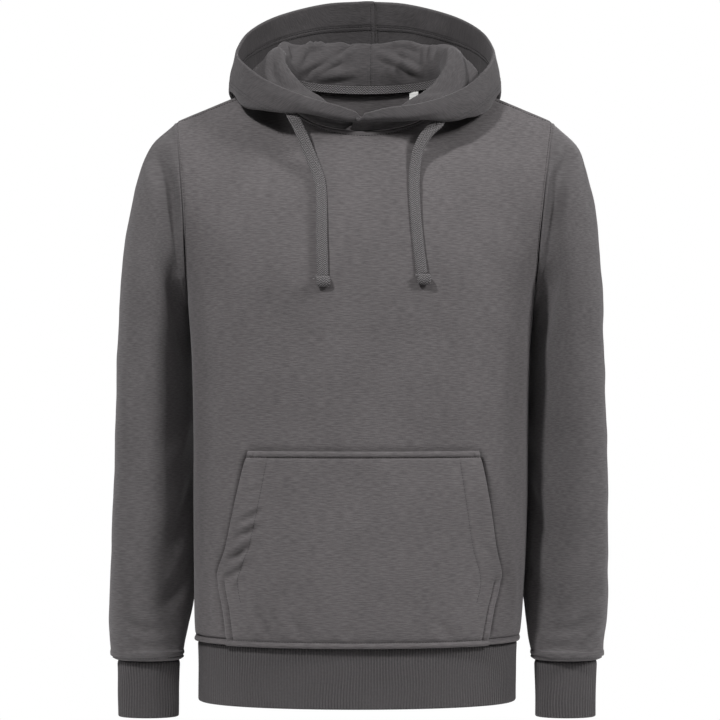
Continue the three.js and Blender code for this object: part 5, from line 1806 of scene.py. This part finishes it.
@dataclass(frozen=True)
class Studio:
    """A level camera in front, soft lights and a pale floor."""

    eye: tuple[float, float, float] = (0.0, -3.5, -0.3243)
    lens: float = 152.17

    def camera(self) -> None:
        """Sets the camera as the photograph was taken."""
        data = bpy.data.cameras.new("camera")
        data.lens = self.lens
        data.sensor_width = 36.0
        data.clip_end = 60.0
        thing = bpy.data.objects.new("camera", data)
        thing.location = self.eye
        thing.rotation_euler = (math.radians(90), 0, 0)
        bpy.context.scene.collection.objects.link(thing)
        bpy.context.scene.camera = thing

    def light(self, name: str, place: tuple, size: float, power: float) -> None:
        """A square soft light that shines at the chest."""
        data = bpy.data.lights.new(name, "AREA")
        data.shape = "SQUARE"
        data.size = size
        data.energy = power
        thing = bpy.data.objects.new(name, data)
        thing.location = place
        aim = Vector((0, 0, -0.35)) - Vector(place)
        thing.rotation_euler = aim.to_track_quat("-Z", "Y").to_euler()
        bpy.context.scene.collection.objects.link(thing)

    def build(self) -> None:
        """Sets the lights, the world and the floor."""
        self.light("key_light", (-1.7, -2.5, 2.5), 0.4, 122)
        self.light("second_light", (2.7, -1.6, 1.9), 0.8, 98)
        self.light("front_fill", (-0.4, -2.9, 2.0), 1.2, 16)
        self.light("right_strip", (2.4, 0.7, -0.1), 1.2, 24)
        self.light("left_strip", (-2.4, 0.3, -0.1), 1.2, 18)
        self.light("back_light", (0.5, 3.1, 1.1), 1.6, 50)
        world = bpy.data.worlds.new("studio_white")
        bpy.context.scene.world = world
        world.use_nodes = True
        tree = world.node_tree
        tree.nodes.clear()
        seen = add_node(tree, "ShaderNodeBackground", {"Color": (1, 1, 1, 1), "Strength": 1.0})
        cast = add_node(tree, "ShaderNodeBackground", {"Color": (1, 1, 1, 1), "Strength": 0.05})
        path = add_node(tree, "ShaderNodeLightPath")
        mix = add_node(tree, "ShaderNodeMixShader", {0: path.outputs["Is Camera Ray"], 1: cast.outputs[0], 2: seen.outputs[0]})
        add_node(tree, "ShaderNodeOutputWorld", {"Surface": mix.outputs[0]})
        floor = bpy.data.meshes.new("floor")
        reach, low = 1.3, -1.3
        floor.from_pydata([(-reach, -reach, low), (reach, -reach, low), (reach, reach, low), (-reach, reach, low)], [], [(0, 1, 2, 3)])
        pale = bpy.data.materials.new("pale_floor")
        pale.use_nodes = True
        shader = pale.node_tree.nodes["Principled BSDF"]
        shader.inputs["Base Color"].default_value = linear("F0F0F0")
        shader.inputs["Roughness"].default_value = 0.9
        floor.materials.append(pale)
        thing = bpy.data.objects.new("floor", floor)
        bpy.context.scene.collection.objects.link(thing)
        bpy.context.scene.view_settings.view_transform = "Standard"


def main() -> None:
    """Builds the garment piece by piece, and the studio round it."""
    logging.basicConfig(level=logging.INFO, format="%(name)s %(message)s")
    studio = Studio()
    studio.camera()
    for hand in Hand:
        Drawcord(hand).build()
    BodyPanel(Face.FRONT, creases=FRONT_CREASES).build()
    BodyPanel(Face.BACK, creases=BACK_CREASES).build()
    for hand in Hand:
        Sleeve(hand, creases=SLEEVE_FRONT + SLEEVE_BACK).build()
        HoodHalf(hand, creases=HOOD_OVER if hand is Hand.LEFT else HOOD_UNDER).build()
    KangarooPocket().build()
    RibBand("hem_rib", 288, WAIST_SEAM - 0.2, HEM, "hem", flat=(0.96, 0.07)).build()
    RibBand("cuff_left", 56, CUFF_TOP - 0.2, CUFF_END, "left", flat=(0.195, 0.065)).build()
    RibBand("cuff_right", 56, CUFF_TOP - 0.2, CUFF_END, "right", flat=(0.195, 0.065)).build()
    NeckTape().build()
    studio.build()


if __name__ == "__main__":
    main()
